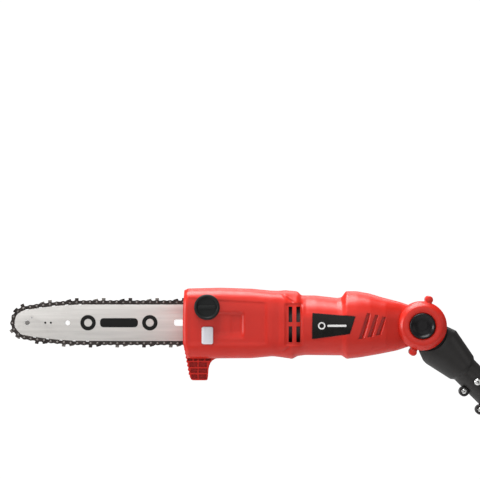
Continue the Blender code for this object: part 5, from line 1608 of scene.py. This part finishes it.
@dataclass
class Works:
    """Carried-over inner parts with their metals, and the ring that guides the cooling air."""

    finishes: dict[str, Finish] = field(default_factory=lambda: {
        "oil_pump": CAST_METAL, "bar_stud": ZINC_STEEL, "motor_stator": CAST_METAL,
        "motor_bearing_front": SPRING_STEEL, "motor_bearing_rear": SPRING_STEEL,
        "spindle_bearing_near": SPRING_STEEL, "spindle_bearing_far": SPRING_STEEL,
                                                                 "gear_case": CAST_METAL,
        "drum_screw_upper": ZINC_STEEL, "drum_screw_lower": ZINC_STEEL,
                                                                 "button_spring": SPRING_STEEL,
        "rotor_core": CAST_METAL, "rotor_shaft": SPRING_STEEL, "commutator": COPPER_WIRE,
        "cooling_fan": SWITCH_BLACK, "bevel_pinion": SPRING_STEEL, "spindle_shaft": SPRING_STEEL,
        "bevel_gear": SPRING_STEEL, "drive_sprocket": SPRING_STEEL, "tension_pin": ZINC_STEEL,
        "nose_sprocket": SPRING_STEEL, "pivot_pin": ZINC_STEEL, "detent_plate": SPRING_STEEL,
        "power_switch": SWITCH_BLACK})

    def build(self, shop: Workshop) -> None:
        """Dress the carried-over parts and add the air guide."""
        for node, finish in self.finishes.items():
            shop.dress(node, finish)
        guide = turned([(30.0, -197), (31.4, -197), (31.4, -167), (30.0, -167)], Axis.X, (0, -1, 4),
                       72, 0.3)
        shop.piece("air_guide", guide, HEAD, SWITCH_BLACK, "head")


@dataclass(frozen=True)
class SoftLight:
    """One square soft light: its place from the point looked at, its side and its power."""

    name: str
    place: tuple[float, float, float]
    size: float
    power: float


@dataclass
class Studio:
    """Floor, lights and camera."""

    distance: float = 6.0
    span: float = 0.6826
    aim: tuple[float, float, float] = (-0.2585, 0.0, 0.1226)
    film: float = 36.0
    floor_drop: float = 0.02
    half_floor: float = 4.0
    backdrop_y: float = 30.0
    room_light: float = 0.2
    lights: tuple[SoftLight, ...] = (
        SoftLight("key_above", (-0.25, -0.15, 1.5), 1.3, 56.0),
        SoftLight("front_fill", (0.2, -2.6, 0.6), 2.2, 13.0),
        SoftLight("left_strip", (-2.5, -0.75, 0.15), 1.0, 36.0),
        SoftLight("right_soft", (1.6, -0.8, 0.3), 0.9, 2.5),
        SoftLight("back_soft", (0.3, 1.2, 1.2), 1.2, 8.0))

    def build(self) -> None:
        """Set the camera square on, a pale floor and backdrop, and soft lights."""
        look = Vector(PIVOT) + Vector(self.aim)
        data = bpy.data.cameras.new("camera")
        data.type = "PERSP"
        data.sensor_width = self.film
        data.lens = self.film * self.distance / self.span
        data.clip_end = 100.0
        camera = bpy.data.objects.new("camera", data)
        camera.location = look + Vector((0.0, -self.distance, 0.0))
        camera.rotation_euler = (math.pi / 2, 0.0, 0.0)
        bpy.context.scene.collection.objects.link(camera)
        bpy.context.scene.camera = camera
        self.floor()
        self.backdrop()
        for lamp in self.lights:
            self.light(lamp, look)
        world = bpy.data.worlds.new("studio")
        world.use_nodes = True
        background = world.node_tree.nodes["Background"]
        background.inputs["Color"].default_value = (1.0, 1.0, 1.0, 1.0)
        background.inputs["Strength"].default_value = self.room_light
        bpy.context.scene.world = world
        bpy.context.scene.view_settings.view_transform = "Standard"

    def light(self, soft: SoftLight, look: Vector) -> None:
        """Hang one soft light and turn it to face the point looked at."""
        where = look + Vector(soft.place)
        data = bpy.data.lights.new(soft.name, "AREA")
        data.shape = "SQUARE"
        data.size = soft.size
        data.energy = soft.power
        lamp = bpy.data.objects.new(soft.name, data)
        lamp.location = where
        lamp.rotation_euler = (look - where).to_track_quat("-Z", "Y").to_euler()
        bpy.context.scene.collection.objects.link(lamp)

    def backdrop(self) -> None:
        """A plain white lit sheet behind the tool."""
        half, y = self.half_floor, self.backdrop_y
        sheet = Shape(np.array([(-half - 1, y, -half), (half - 1, y, -half), (half - 1, y, half),
                                (-half - 1, y, half)]), [(0, 1, 2, 3)])
        backdrop = raw_object("backdrop", sheet)
        material = bpy.data.materials.new("lit_backdrop")
        material.use_nodes = True
        shader = material.node_tree.nodes["Principled BSDF"]
        shader.inputs["Base Color"].default_value = (0.8, 0.8, 0.8, 1.0)
        shader.inputs["Emission Color"].default_value = (1.0, 1.0, 1.0, 1.0)
        shader.inputs["Emission Strength"].default_value = 0.9
        backdrop.data.materials.append(material)

    def floor(self) -> None:
        """A pale floor just under the tool's lowest point."""
        low = cad_box[0][2] - self.floor_drop
        half = self.half_floor
        sheet = Shape(np.array([(-half, -half, low), (half, -half, low), (half, half, low),
                                (-half, half, low)]),
                      [(0, 1, 2, 3)])
        floor = raw_object("floor", sheet)
        material = bpy.data.materials.new("pale_floor")
        material.use_nodes = True
        shader = material.node_tree.nodes["Principled BSDF"]
        shader.inputs["Base Color"].default_value = (0.85, 0.85, 0.85, 1)
        shader.inputs["Roughness"].default_value = 0.7
        floor.data.materials.append(material)


def main() -> None:
    """Build the tool from the head to the butt."""
    logging.basicConfig(level=logging.INFO, format="%(message)s")
    shop = Workshop()
    Studio().build()
    HeadShell().build(shop)
    BranchHook().build(shop)
    OilParts().build(shop)
    LabelPlate().build(shop)
    TiltButton().build(shop)
    bar = GuideBar()
    bar.build(shop)
    SawChain(bar).build(shop)
    Knuckle().build(shop)
    Pole().build(shop)
    RearHandle().build(shop)
    ChainCover().build(shop)
    Works().build(shop)
    log.info("%d finished pieces", len(shop.made))


if __name__ == "__main__":
    main()
